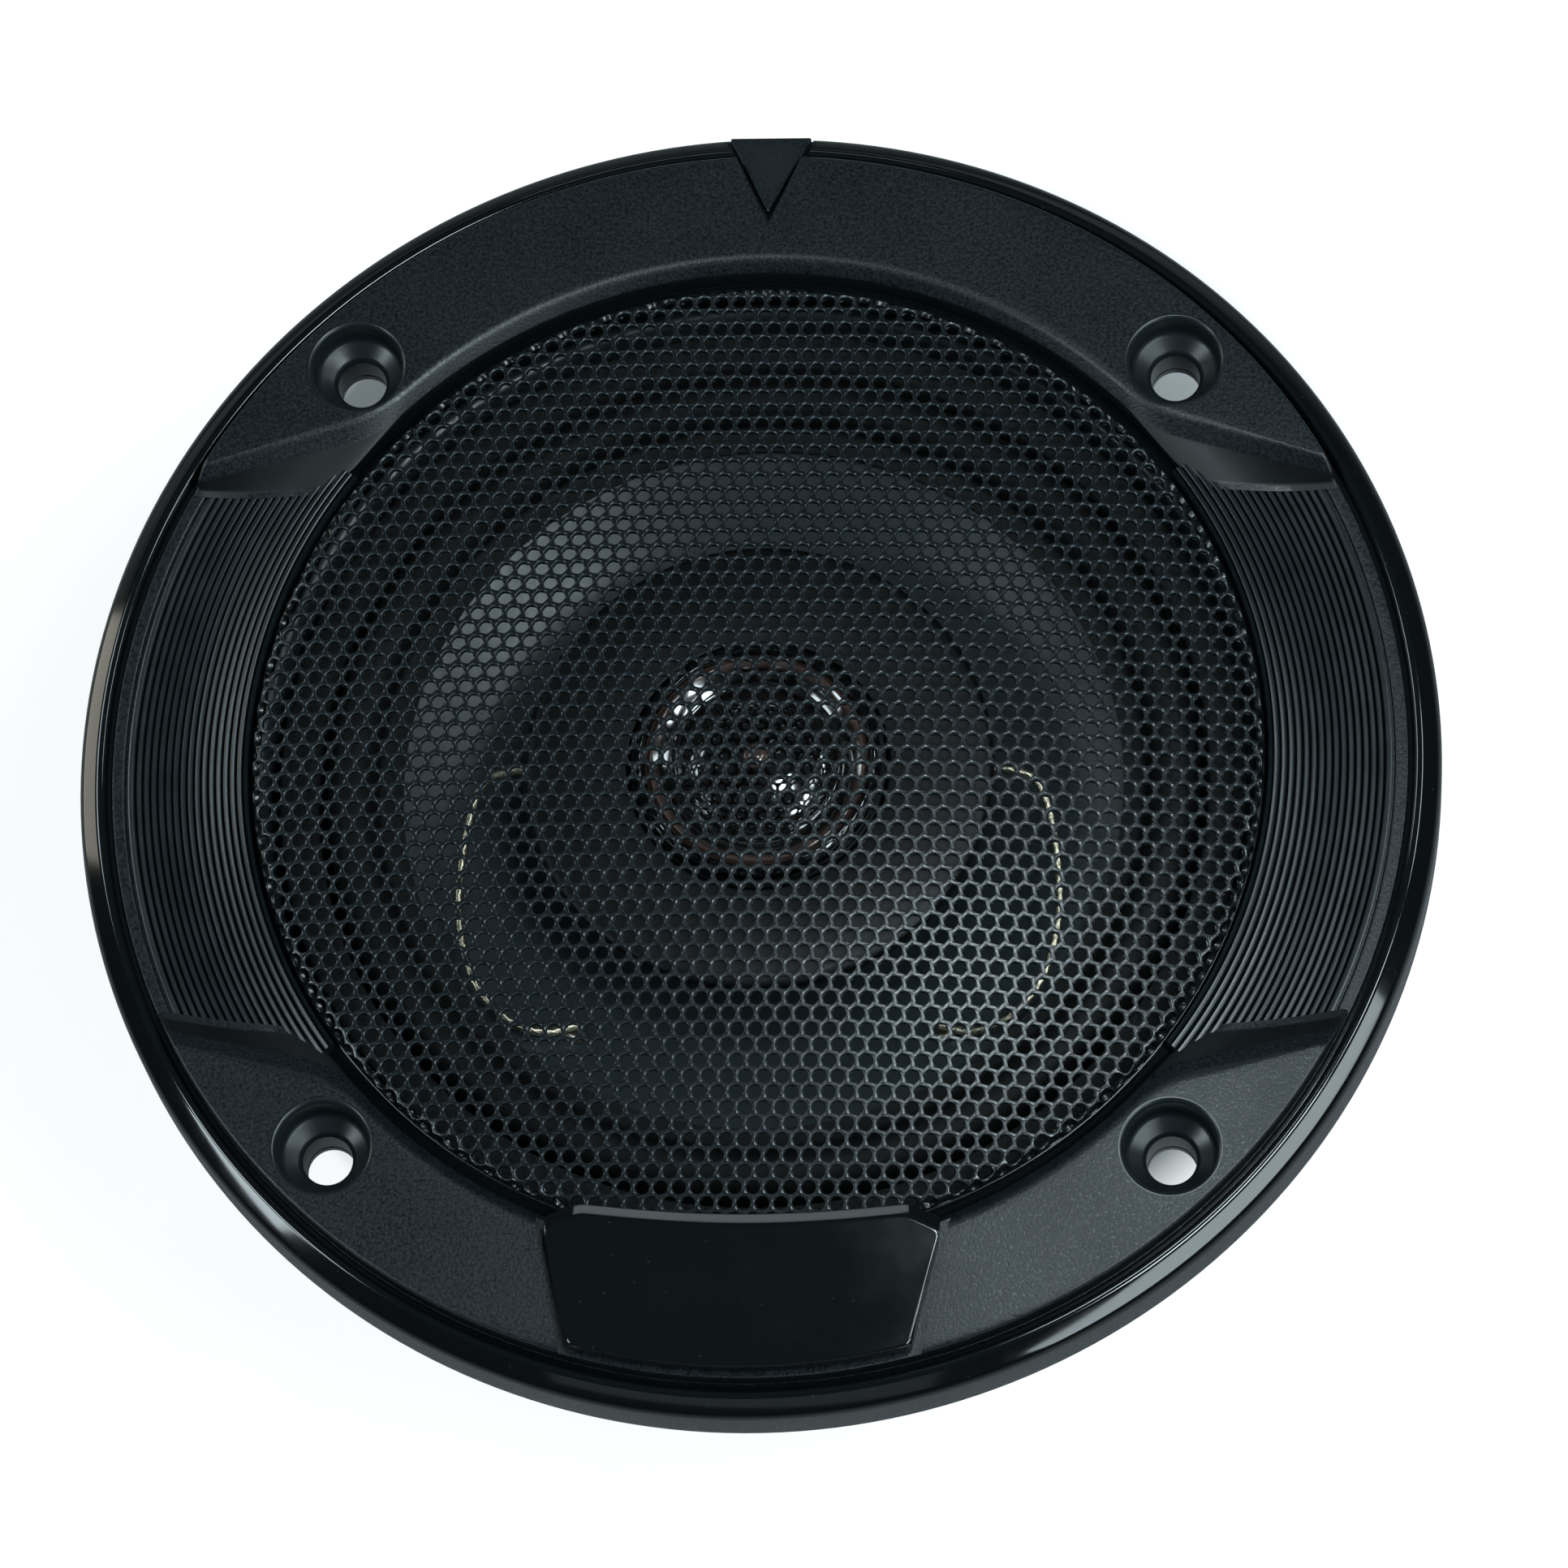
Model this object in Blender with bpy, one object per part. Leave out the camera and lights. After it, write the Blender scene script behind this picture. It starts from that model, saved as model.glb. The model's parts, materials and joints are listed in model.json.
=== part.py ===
"""A two-way coaxial car speaker of the 165 mm class with its grille on.

It lies on its magnet: +Z is the side that faces the listener, +Y is the notch of the grille and -Y its badge.
The dimensions are millimetres, and the scene is in metres.
"""

import math

import bmesh
import bpy
from mathutils import Matrix, Vector

MM = 0.001
TAU = 2 * math.pi

# Mounting pattern shared by the basket and the grille
PATTERN_R = 77.5
SCREW_HOLE_R = 3.25
SCREW_ANGLES = (45, 135, 225, 315)

# Motor, stacked on the axis
YOKE_R = 37.0
YOKE_TOP = 5.0
POLE_R = 12.2
POLE_TOP = 23.5
POLE_BORE_R = 4.3
MAGNET_R = 40.0
MAGNET_HOLE_R = 20.0
MAGNET_Z = (5.3, 18.3)
TOP_PLATE_R = 37.0
TOP_PLATE_HOLE_R = 13.95
TOP_PLATE_Z = (18.6, 23.1)
RIVET_R = 28.0
RIVET_SHANK_R = 1.6
RIVET_HOLE_R = 1.95

# Moving system
FORMER_R = (12.65, 12.95)
FORMER_Z = (14.5, 33.6)
COIL_R = (13.25, 13.6)
COIL_Z = (16.8, 24.8)
CONE_NECK = (13.35, 33.0)
CONE_RIM_R = 49.6
CONE_RIM_Z = 51.0
CONE_SHEET = 0.7

# Basket
BASKET_SHEET = 1.0
FLANGE_TOP = 55.2
FLANGE_R = 72.5
EAR_R = 83.6
WINDOW_HALF = 19

# Tweeter on its post
POST_R = 6.0
BAFFLE_R = 31.2
BAFFLE_Z = (57.0, 59.5)
TWEETER_R = 16.4

# Grille
FRAME_R = 90.0
FRAME_FOOT = 54.5
PANEL_TOP = 66.0
RIM_CREST = 63.4
PANEL_CHAMFER = 1.7
# Ends of the raised panels, in degrees at the mesh and at the rim: foot of the facet, foot of the chamfer, edge
UPPER_END = ((34.0, 26.9), (41.0, 27.1), (44.2, 28.2))
LOWER_END = ((34.4, 25.1), (38.6, 26.7), (41.9, 28.8))
RIB_COUNT = 5
RIB_DEPTH = 0.7
BADGE_FOOT_R = 83.3
RECESS_R = 6.0
RECESS_FLOOR = 60.5
BOSS_R = 6.6
BOSS_FOOT = 55.5
FACE_R = 65.6
FACE_EDGE = 64.9
FACE_RISE = 4.4
MESH_SHEET = 0.8
MESH_PITCH = 11.4
MESH_HOLE = 7.9


def clear_scene():
    for obj in list(bpy.data.objects):
        bpy.data.objects.remove(obj)


def material(name, colour, roughness, metallic=0.0):
    mat = bpy.data.materials.new(name)
    mat.use_nodes = True
    shader = mat.node_tree.nodes["Principled BSDF"]
    shader.inputs["Base Color"].default_value = (*colour, 1)
    shader.inputs["Roughness"].default_value = roughness
    shader.inputs["Metallic"].default_value = metallic
    return mat


def solid(name, bm, mat, sharp=38):
    """Turns a closed bmesh in millimetres into a smooth shaded object."""
    bmesh.ops.recalc_face_normals(bm, faces=bm.faces)
    mesh = bpy.data.meshes.new(name)
    bm.to_mesh(mesh)
    bm.free()
    mesh.transform(Matrix.Scale(MM, 4))
    mesh.shade_smooth()
    mesh.set_sharp_from_angle(angle=math.radians(sharp))
    obj = bpy.data.objects.new(name, mesh)
    bpy.context.scene.collection.objects.link(obj)
    mesh.materials.append(mat)
    return obj


def polar(radius, degrees, z=0.0):
    angle = math.radians(degrees)
    return Vector((radius * math.cos(angle), radius * math.sin(angle), z))


def bridge(bm, row, following, closed=True):
    """Faces between two rows of points. A row on the axis repeats one point."""
    count = len(row)
    for j in range(count if closed else count - 1):
        k = (j + 1) % count
        corners = list(dict.fromkeys((row[j], row[k], following[k], following[j])))
        if len(corners) > 2:
            bm.faces.new(corners)


def turned(bm, profile, segments, centre=(0.0, 0.0)):
    """Revolves a closed (radius, height) profile about a vertical axis."""
    rows = []
    for radius, z in profile:
        if radius == 0:
            rows.append([bm.verts.new((*centre, z))] * segments)
            continue
        row = []
        for j in range(segments):
            angle = TAU * j / segments
            x = centre[0] + radius * math.cos(angle)
            row.append(bm.verts.new((x, centre[1] + radius * math.sin(angle), z)))
        rows.append(row)
    for row, following in zip(rows, rows[1:] + rows[:1]):
        bridge(bm, row, following)


def revolve(name, profile, mat, segments=48, sharp=38):
    bm = bmesh.new()
    turned(bm, profile, segments)
    return solid(name, bm, mat, sharp)


def offset(points, distance):
    """The polyline moved sideways by distance, with mitred corners."""
    moved = []
    for i, (x, y) in enumerate(points):
        normals = []
        for a, b in ((i - 1, i), (i, i + 1)):
            if a < 0 or b >= len(points):
                continue
            dx = points[b][0] - points[a][0]
            dy = points[b][1] - points[a][1]
            length = math.hypot(dx, dy)
            normals.append((-dy / length, dx / length))
        nx = sum(n[0] for n in normals) / len(normals)
        ny = sum(n[1] for n in normals) / len(normals)
        scale = distance / max(nx * nx + ny * ny, 0.35)
        moved.append((x + nx * scale, y + ny * scale))
    return moved


def pressed(points, thickness):
    """The closed profile of a sheet whose upper face follows points."""
    return points + offset(points, -thickness)[::-1]


def prism(name, outline, low, high, mat):
    """An upright prism. Each height is one number, or one for each corner of a triangle."""
    bm = bmesh.new()
    ends = []
    for level in (low, high):
        heights = level if isinstance(level, tuple) else [level] * len(outline)
        ends.append([bm.verts.new((x, y, z)) for (x, y), z in zip(outline, heights)])
    lower, upper = ends
    bm.faces.new(lower[::-1])
    bm.faces.new(upper)
    bridge(bm, lower, upper)
    return solid(name, bm, mat)


def helper(obj):
    obj.hide_render = True
    obj.display_type = "WIRE"
    return obj


def boolean(obj, tool, operation):
    step = obj.modifiers.new(tool.name, "BOOLEAN")
    step.operation = operation
    step.solver = "EXACT"
    step.object = helper(tool)


def columns(name, spots, radius, low, high, mat, segments=20):
    """Equal upright cylinders in one helper."""
    bm = bmesh.new()
    for x, y in spots:
        profile = [(0, low), (radius, low), (radius, high), (0, high)]
        turned(bm, profile, segments, (x, y))
    return solid(name, bm, mat)


def eased(points, steps):
    """Points along a smooth curve through the given points."""
    points = [Vector(p) for p in points]
    ends = [points[0] * 2 - points[1], *points, points[-1] * 2 - points[-2]]
    path = []
    for a, b, c, d in zip(ends, ends[1:], ends[2:], ends[3:]):
        for step in range(steps):
            t = step / steps
            along = (c - a) * t + (2 * a - 5 * b + 4 * c - d) * t**2
            path.append(b + (along + (3 * b - a - 3 * c + d) * t**3) / 2)
    return path + [points[-1]]


def tube(name, path, radius, mat, sides=6):
    """A round wire along the path, with flat ends."""
    bm = bmesh.new()
    rows = []
    side = Vector((0, 0, 1))
    for i, point in enumerate(path):
        along = (path[min(i + 1, len(path) - 1)] - path[max(i - 1, 0)]).normalized()
        side = (side - along * side.dot(along)).normalized()
        across = along.cross(side)
        row = []
        for j in range(sides):
            angle = TAU * j / sides
            out = side * math.cos(angle) + across * math.sin(angle)
            row.append(bm.verts.new(point + out * radius))
        rows.append(row)
    for row, following in zip(rows, rows[1:]):
        bridge(bm, row, following)
    bm.faces.new(rows[0][::-1])
    bm.faces.new(rows[-1])
    return solid(name, bm, mat)


def placed(obj, origin, upward):
    """Turns an upright object so that its +Z follows upward, at origin."""
    turn = Vector(upward).to_track_quat("Z", "Y").to_matrix().to_4x4()
    obj.data.transform(Matrix.Translation(Vector(origin) * MM) @ turn)
    return obj


def cone_height(radius):
    """Height of the front face of the cone, a shallow flare."""
    t = (radius - CONE_NECK[0]) / (CONE_RIM_R - CONE_NECK[0])
    return CONE_NECK[1] + (CONE_RIM_Z - CONE_NECK[1]) * (1.12 * t - 0.12 * t * t)


def motor(mats):
    bore, pole, foot = POLE_BORE_R, POLE_R, YOKE_R
    profile = [(bore, 0), (foot - 0.8, 0), (foot, 0.8), (foot, YOKE_TOP), (pole + 1.5, YOKE_TOP)]
    profile += [(pole, YOKE_TOP + 1.5), (pole, POLE_TOP - 0.6), (pole - 0.6, POLE_TOP), (bore, POLE_TOP)]
    revolve("yoke", profile, mats["zinc"], 32)

    low, high = MAGNET_Z
    hole, rim, ease = MAGNET_HOLE_R, MAGNET_R, 0.8
    profile = [(hole, low), (rim - ease, low), (rim, low + ease), (rim, high - ease)]
    revolve("magnet", profile + [(rim - ease, high), (hole, high)], mats["ferrite"], 36)

    low, high = TOP_PLATE_Z
    hole, rim = TOP_PLATE_HOLE_R, TOP_PLATE_R
    profile = [(hole, low), (rim, low), (rim, high - 0.6), (rim - 0.6, high), (hole, high)]
    plate = revolve("top_plate", profile, mats["zinc"], 36)
    spots = [polar(RIVET_R, angle)[:2] for angle in SCREW_ANGLES]
    holes = columns("plate_rivet_holes", spots, RIVET_HOLE_R, high - 3.2, high + 5, mats["zinc"], 10)
    boolean(plate, holes, "DIFFERENCE")
    for number, (x, y) in enumerate(spots, 1):
        shank, head, seat = RIVET_SHANK_R, 3.2, high + BASKET_SHEET + 0.6
        profile = [(0, high - 2.8), (shank, high - 2.8), (shank, seat), (head, seat)]
        profile += [(head - 1.0, seat + 1.1), (0, seat + 1.3)]
        bm = bmesh.new()
        turned(bm, profile, 10, (x, y))
        solid(f"basket_rivet_{number}", bm, mats["zinc"])


def basket_rim(degrees):
    """Edge radius of the flange, which grows into four ears at the screw holes."""
    away = min(abs((degrees - angle + 180) % 360 - 180) for angle in SCREW_ANGLES)
    if away <= 5.5:
        return EAR_R - 0.02 * away * away
    return max(FLANGE_R, EAR_R - 2.1 * (away - 5))


def basket(mats):
    """A stamped sheet: floor, spider ledge, six arms, surround landing and flange."""
    floor, ledge, landing, top = 24.4, 29.0, 48.3, FLANGE_TOP
    inner = [(16.0, floor), (32.5, floor), (35.4, ledge), (41.6, ledge), (43.2, 30.6)]
    outer = [(56.0, 46.8), (57.6, landing), (64.4, landing), (65.6, 50.0), (66.2, top), (70.8, top)]
    profile = inner + outer
    count = 48
    upper, under = [], []
    for j in range(count):
        degrees = 360 * j / count
        points = profile + [(basket_rim(degrees), top)]
        upper.append([polar(r, degrees, z) for r, z in points])
        under.append([polar(r, degrees, z) for r, z in offset(points, -BASKET_SHEET)])
    window = len(inner) - 1

    def kept(i, j):
        if not 0 <= i < len(profile):
            return False
        middle = 360 * (j % count + 0.5) / count
        return i != window or abs((middle + 30) % 60 - 30) > WINDOW_HALF

    bm = bmesh.new()
    skins = [[[bm.verts.new(p) for p in column] for column in skin] for skin in (upper, under)]
    for i in range(len(profile)):
        for j in range(count):
            if not kept(i, j):
                continue
            k = (j + 1) % count
            for skin in skins:
                bm.faces.new((skin[j][i], skin[j][i + 1], skin[k][i + 1], skin[k][i]))
            edges = [((i - 1, j), (j, i), (k, i)), ((i + 1, j), (j, i + 1), (k, i + 1))]
            edges += [((i, j - 1), (j, i), (j, i + 1)), ((i, j + 1), (k, i), (k, i + 1))]
            for beside, (a, b), (c, d) in edges:
                if not kept(*beside):
                    bm.faces.new((skins[0][a][b], skins[0][c][d], skins[1][c][d], skins[1][a][b]))
    loose = [v for v in bm.verts if not v.link_faces]
    bmesh.ops.delete(bm, geom=loose, context="VERTS")
    shell = solid("basket", bm, mats["paint"])
    spots = [polar(PATTERN_R, angle)[:2] for angle in SCREW_ANGLES]
    boolean(shell, columns("ear_holes", spots, SCREW_HOLE_R, 50, 60, mats["paint"], 14), "DIFFERENCE")
    spots = [polar(RIVET_R, angle)[:2] for angle in SCREW_ANGLES]
    boolean(shell, columns("floor_rivet_holes", spots, RIVET_HOLE_R, 21, 27, mats["paint"], 10), "DIFFERENCE")


def moving_system(mats):
    (inside, outside), (low, high) = FORMER_R, FORMER_Z
    profile = [(inside, low), (outside, low), (outside, high), (inside, high)]
    revolve("coil_former", profile, mats["kapton"], 24)
    (inside, outside), (low, high) = COIL_R, COIL_Z
    profile = [(inside, low), (outside, low), (outside, high), (inside, high)]
    revolve("voice_coil", profile, mats["copper"], 24)

    steps = [CONE_NECK[0] + (CONE_RIM_R - CONE_NECK[0]) * i / 3 for i in range(4)]
    front = [(r, cone_height(r)) for r in steps] + [(CONE_RIM_R + 0.9, CONE_RIM_Z + 0.1)]
    revolve("cone", pressed(front, CONE_SHEET), mats["cone"], 36)

    # Half roll from the lip of the cone out to the landing of the basket
    seat, crown, lip = 49.3, 56.2, CONE_RIM_Z + 1.05
    roll = [(CONE_RIM_R - 1.6, lip), (CONE_RIM_R + 0.9, lip)]
    for i in range(5):
        angle = math.radians(164 - 37 * i)
        roll.append((54.6 + 3.4 * math.cos(angle), crown - 3.9 + 3.9 * math.sin(angle)))
    roll += [(58.6, seat), (64.2, seat)]
    revolve("surround", pressed(roll, 0.7), mats["rubber"], 32)

    # Corrugated spider between the ledge and the former
    waves = [(13.3, 32.2), (14.6, 31.6)]
    for i in range(7):
        waves.append((16.4 + 2.8 * i, 30.6 + (1.0 if i % 2 else -0.6)))
    waves += [(35.6, 29.9), (40.6, 29.9)]
    revolve("spider", pressed(waves, 0.6), mats["cloth"], 26, 60)

    profile = [(59.4, 49.6), (64.4, 49.6), (64.4, 54.6), (59.4, 54.6)]
    revolve("gasket_ring", profile, mats["foam"], 36)


def tweeter(mats):
    stem = [(0, 0.8), (3.6, 0.8), (4.0, 1.2), (4.0, POLE_TOP + 0.3), (10.4, POLE_TOP + 0.3)]
    stem += [(10.4, 25.6), (POST_R + 1, 26.4), (POST_R, 28), (POST_R, 47.5), (12.6, 50.2), (12.6, 51.7), (0, 51.7)]
    revolve("tweeter_post", stem, mats["black"], 20)

    low, high = BAFFLE_Z
    disc = [(12.6, low), (29.8, low), (BAFFLE_R, low + 0.7), (BAFFLE_R, high - 1.0), (29.6, high)]
    disc += [(17.4, high), (17.0, high - 0.9), (12.6, high - 0.9)]
    revolve("tweeter_baffle", disc, mats["black"], 36)

    cup = [(0, 52.0), (12.2, 52.0), (12.2, 55.2), (14.6, 55.2), (14.6, 56.7), (12.3, 56.7), (12.3, 58.9)]
    cup += [(10.15, 58.9), (10.15, 57.0), (11.2, 56.4), (11.2, 53.5), (0, 53.5)]
    revolve("tweeter_cup", cup, mats["zinc"], 20)
    revolve("tweeter_magnet", [(0, 53.8), (8.2, 53.8), (8.2, 56.6), (0, 56.6)], mats["nickel"], 20)
    revolve("tweeter_pole_cap", [(0, 56.9), (8.7, 56.9), (8.7, 58.6), (0, 58.6)], mats["zinc"], 20)
    coil = [(9.2, 56.2), (9.65, 56.2), (9.65, 59.7), (9.2, 59.7)]
    revolve("tweeter_coil", coil, mats["copper"], 24)

    # One film: clamped edge, half roll, dome and a small centre nub
    film = [(0, 63.5), (1.1, 63.2), (1.5, 62.8), (5.4, 61.9), (9.3, 60.4), (11.0, 61.9), (13.3, 61.9)]
    film += [(14.7, 60.5), (15.4, 60.5)]
    under = offset(film, -0.4)
    under[0] = (0, film[0][1] - 0.5)
    revolve("tweeter_diaphragm", film + under[::-1], mats["film"], 24)

    ring = [(15.8, 58.95), (TWEETER_R, 58.95), (TWEETER_R, 61.6), (16.0, 62.1), (15.2, 62.1), (14.75, 61.5)]
    revolve("tweeter_ring", ring + [(14.9, 61.1), (15.8, 61.1)], mats["black"], 24)

    can = [(0, -5.5), (2.3, -5.5), (2.6, -5.2), (2.6, 5.2), (2.3, 5.5), (0, 5.5)]
    placed(revolve("tweeter_capacitor", can, mats["sleeve"], 14), (0, 21.0, 54.1), (1, 0, 0))


def leads(mats):
    """Braided leads: tweeter to cone in front, cone to terminals behind."""
    board = board_frame()
    for side, x in (("left", -1), ("right", 1)):
        foot = Vector((x * 24.6, -33.4, 0))
        foot.z = cone_height(foot.to_2d().length)
        slope = (cone_height(42.0) - cone_height(41.0)) / 1.0
        outward = foot.to_2d().normalized()
        normal = Vector((-outward.x * slope, -outward.y * slope, 1)).normalized()
        cap = [(0, 0.3), (1.7, 0.3), (1.7, 0.75), (1.1, 1.1), (0, 1.1)]
        placed(revolve(f"eyelet_{side}", cap, mats["brass"], 12), foot, normal)
        start = Vector((x * 28.0, 0.6, 56.0))
        route = [start, (x * 33.5, 0.4, 56.0), (x * 37.2, -1.8, 55.6), (x * 39.2, -9.5, 54.6)]
        route += [(x * 39.7, -19.0, 53.6), (x * 37.6, -27.4, 53.0), (x * 33.2, -32.6, 51.8)]
        route += [foot + Vector((x * 3.6, -0.6, 2.9)), foot + normal * 2.0]
        tube(f"tweeter_lead_{side}", eased(route, 3), 0.6, mats["tinsel"], 5)
        back = foot - normal * (CONE_SHEET + 0.9)
        route = [back, (x * 22.6, -36.6, 42.8), (x * 16.4, -42.4, 40.6), (x * 11.6, -52.0, 41.2)]
        route += [board @ Vector((x * 9.2, 4.4, 3.4)), board @ Vector((x * 6.4, 3.0, 3.7))]
        route.append(board @ Vector((x * 4.6, 1.6, 3.65)))
        tube(f"rear_lead_{side}", eased(route, 3), 0.6, mats["tinsel"], 5)


def board_frame():
    """The terminal board's own frame: X across, Y up the arm at -Y, Z away from the arm."""
    run = Vector((0, -12.8, 16.2)).normalized()
    out = Vector((0, -run.z, run.y))
    seat = Vector((0, -49.6, 38.7)) + out * (BASKET_SHEET + 0.35)
    turn = Matrix((Vector((1, 0, 0)), run, out)).transposed().to_4x4()
    return Matrix.Translation(seat) @ turn


def terminals(mats):
    """A phenolic board on the outer face of the arm at -Y, with two spade tabs."""
    frame = board_frame()
    frame.translation *= MM

    def on_board(name, outline, low, high, mat):
        prism(name, outline, low, high, mat).data.transform(frame)

    outline = [(-8.5, -8), (8.5, -8), (8.5, 5.5), (7, 7), (-7, 7), (-8.5, 5.5)]
    on_board("terminal_board", outline, 0, 1.6, mats["phenolic"])
    for name, x, half in (("terminal_tab_wide", -4.6, 2.4), ("terminal_tab_narrow", 4.6, 1.4)):
        blade = [(1.9, 3.4), (1.9, 2.7), (1.9, -7.0), (1.9, -14.4), (2.7, -14.4), (2.7, -6.6), (2.7, 3.4)]
        bm = bmesh.new()
        sides = [[bm.verts.new((x + s * half, y, z)) for z, y in blade] for s in (-1, 1)]
        bm.faces.new(sides[0][::-1])
        bm.faces.new(sides[1])
        bridge(bm, *sides)
        tab = solid(name, bm, mats["brass"])
        tab.data.transform(frame)


def rib_height(radius):
    """The side zones are a scoop that climbs from the rim to the mesh."""
    t = (83.2 - radius) / (83.2 - 67.4)
    return 62.2 - 3.2 * t + 5.4 * t * t


def frame_rows():
    """Rows across the frame from the mesh out to the foot: panel profile and rib profile."""
    rows = [((68.6, 61.5), (67.3, 61.5)), ((68.7, 64.3), (67.3, 63.4)), ((70.2, PANEL_TOP), (67.6, 64.3))]
    first, last = 68.2, 83.2
    pitch = (last - first) / RIB_COUNT
    for i in range(RIB_COUNT):
        for share, drop in ((0.2, 0.0), (0.75, RIB_DEPTH)):
            r = first + pitch * (i + share)
            across = 70.4 + 14.0 * (i + share) / RIB_COUNT
            rows.append(((across, PANEL_TOP), (r, rib_height(r) - drop)))
    rows.append(((84.9, PANEL_TOP), (83.4, 62.5)))
    rows.append(((85.4, PANEL_TOP - 0.5), (85.4, 62.5)))
    rows.append(((85.6, 62.5), (85.6, 62.3)))
    rim = [(86.2, 62.5), (86.5, RIM_CREST), (87.6, RIM_CREST), (89.3, 62.2), (FRAME_R, 61.0)]
    rim += [(FRAME_R, FRAME_FOOT), (87.8, FRAME_FOOT), (87.8, 60.4), (86.4, 60.9), (84.2, 60.3)]
    rows += [(point, point) for point in rim]
    rows.append(((83.4, 63.6), (83.0, 60.2)))
    rows.append(((78.0, 63.6), (77.0, 59.0)))
    rows.append(((72.2, 63.6), (72.2, 60.0)))
    rows.append(((71.4, 61.5), (71.4, 61.5)))
    return rows


def frame_columns():
    """(inner angle, outer angle, raised above, raised below, chamfered) of each line across the frame."""
    lines = []

    def spread(a, b, count, raised):
        for i in range(1, count):
            t = i / count
            lines.append((a[0] + (b[0] - a[0]) * t, a[1] + (b[1] - a[1]) * t, raised, raised, False))

    def panel(end, middle):
        """A panel about middle, between one end and its mirror image."""
        first = [(middle - 90 + a, middle - 90 + b) for a, b in end]
        last = [(2 * middle - a, 2 * middle - b) for a, b in first]
        steps = ((False, False, False), (True, False, True), (True, False, False))
        lines.extend((*line, *step) for line, step in zip(first, steps))
        spread(first[2], (middle, middle), 8, True)
        lines.append((middle, middle, True, True, False))
        spread((middle, middle), last[2], 8, True)
        lines.extend((*line, *step) for line, step in zip(last[::-1], steps[::-1]))
        return first[0], last[0]

    first, side = panel(UPPER_END, 90)
    next_side = [180 + angle for angle in LOWER_END[0]]
    spread(side, next_side, 9, False)
    _, side = panel(LOWER_END, 270)
    spread(side, [360 + angle for angle in first], 9, False)
    return lines


def triangle(grow):
    """Outline of the notch field, point down, grown sideways."""
    return [(0, 77.0 - 2.4 * grow), (5.6 + grow * 1.15, 89.1 + grow), (-5.6 - grow * 1.15, 89.1 + grow)]


def badge_outline(grow):
    """Outline of the badge: its foot follows the rim, and its head is slightly hollow."""
    top, bottom, high = 25.0 + grow, 21.0 + grow, -61.8 + grow
    head = [(top, high - 2.0), (top - 4.2, high), (10.4, high - 1.1), (0, high - 1.5)]
    head += [(-x, y) for x, y in head[2::-1]]
    foot = BADGE_FOOT_R + grow
    half = math.degrees(math.asin(bottom / foot))
    return head + [tuple(polar(foot, 270 - half + half * i / 3)[:2]) for i in range(7)]


def grille_frame(mats):
    """The moulded ring: raised panels, ribbed side scoops, bevelled rim and notch, with its screw bosses and badge."""
    bm = bmesh.new()
    lines, rows = frame_columns(), frame_rows()
    grid = []
    foot = rows.index(((FRAME_R, FRAME_FOOT), (FRAME_R, FRAME_FOOT)))
    for number, (panel, rib) in enumerate(rows):
        row = []
        for inner, outer, above, below, chamfered in lines:
            raised = above if number < foot else below
            r, z = panel if raised else rib
            if chamfered:
                z = min(z, PANEL_TOP - PANEL_CHAMFER)
            t = min(max((r - 69.0) / 16.0, 0), 1)
            row.append(bm.verts.new(polar(r, inner + (outer - inner) * t, z)))
        grid.append(row)
    for row, following in zip(grid, grid[1:] + grid[:1]):
        bridge(bm, row, following)
    bmesh.ops.recalc_face_normals(bm, faces=bm.faces)
    flat = [v for v in bm.verts if v.co.z == grid[4][10].co.z]
    edges = [e for e in bm.edges if all(v.co.z == flat[0].co.z for v in e.verts)]
    bmesh.ops.dissolve_limit(bm, angle_limit=math.radians(0.3), verts=flat, edges=edges)
    frame = solid("grille_frame", bm, mats["frame"], 25)
    spots = [polar(PATTERN_R, angle)[:2] for angle in SCREW_ANGLES]
    boolean(frame, columns("boss_holes", spots, BOSS_R + 0.3, 50, 70, mats["frame"], 16), "DIFFERENCE")
    # The field of the notch slopes from the panel down to the rim, and the groove beside it follows
    groove, floor, field = (65.0, 63.0, 63.0), (64.4, 62.4, 62.4), (65.9, 63.5, 63.5)
    boolean(frame, prism("notch_groove", triangle(0.8), groove, 70, mats["frame"]), "DIFFERENCE")
    boolean(frame, prism("notch_field", triangle(0.0), floor, field, mats["frame"]), "UNION")
    flat = [(-5.6, 89.1), (5.6, 89.1), (5.6, 93), (-5.6, 93)]
    boolean(frame, prism("notch_flat", flat, 50, 70, mats["frame"]), "DIFFERENCE")
    boolean(frame, prism("badge_seat", badge_outline(0.7), 65.4, 70, mats["frame"]), "DIFFERENCE")

    # The screw bosses are moulded with the ring: here each has its own node, so that its bore stays open in collision
    boss = [(SCREW_HOLE_R, BOSS_FOOT), (BOSS_R, BOSS_FOOT), (BOSS_R, PANEL_TOP), (RECESS_R, PANEL_TOP)]
    boss += [(RECESS_R, RECESS_FLOOR), (SCREW_HOLE_R, RECESS_FLOOR)]
    for corner, spot in zip(("ne", "nw", "sw", "se"), spots):
        bm = bmesh.new()
        turned(bm, boss, 16, spot)
        solid(f"screw_boss_{corner}", bm, mats["frame"])

    bm = bmesh.new()
    low, step, high = 65.8, 67.7, 68.3
    levels = [(badge_outline(0.0), low), (badge_outline(0.0), step), (badge_outline(-0.6), high)]
    rings = [[bm.verts.new((x, y, z)) for x, y in outline] for outline, z in levels]
    for row, following in zip(rings, rings[1:]):
        bridge(bm, row, following)
    bm.faces.new(rings[0][::-1])
    bm.faces.new(rings[-1])
    solid("badge_plate", bm, mats["gloss"])

    ring = [(66.6, 58.4), (69.6, 58.4), (69.6, 60.1), (66.6, 60.1)]
    revolve("mesh_retainer", ring, mats["frame"], 36)


def dome(radius):
    return FACE_EDGE + FACE_RISE * (1 - (radius / FACE_R) ** 2)


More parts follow.
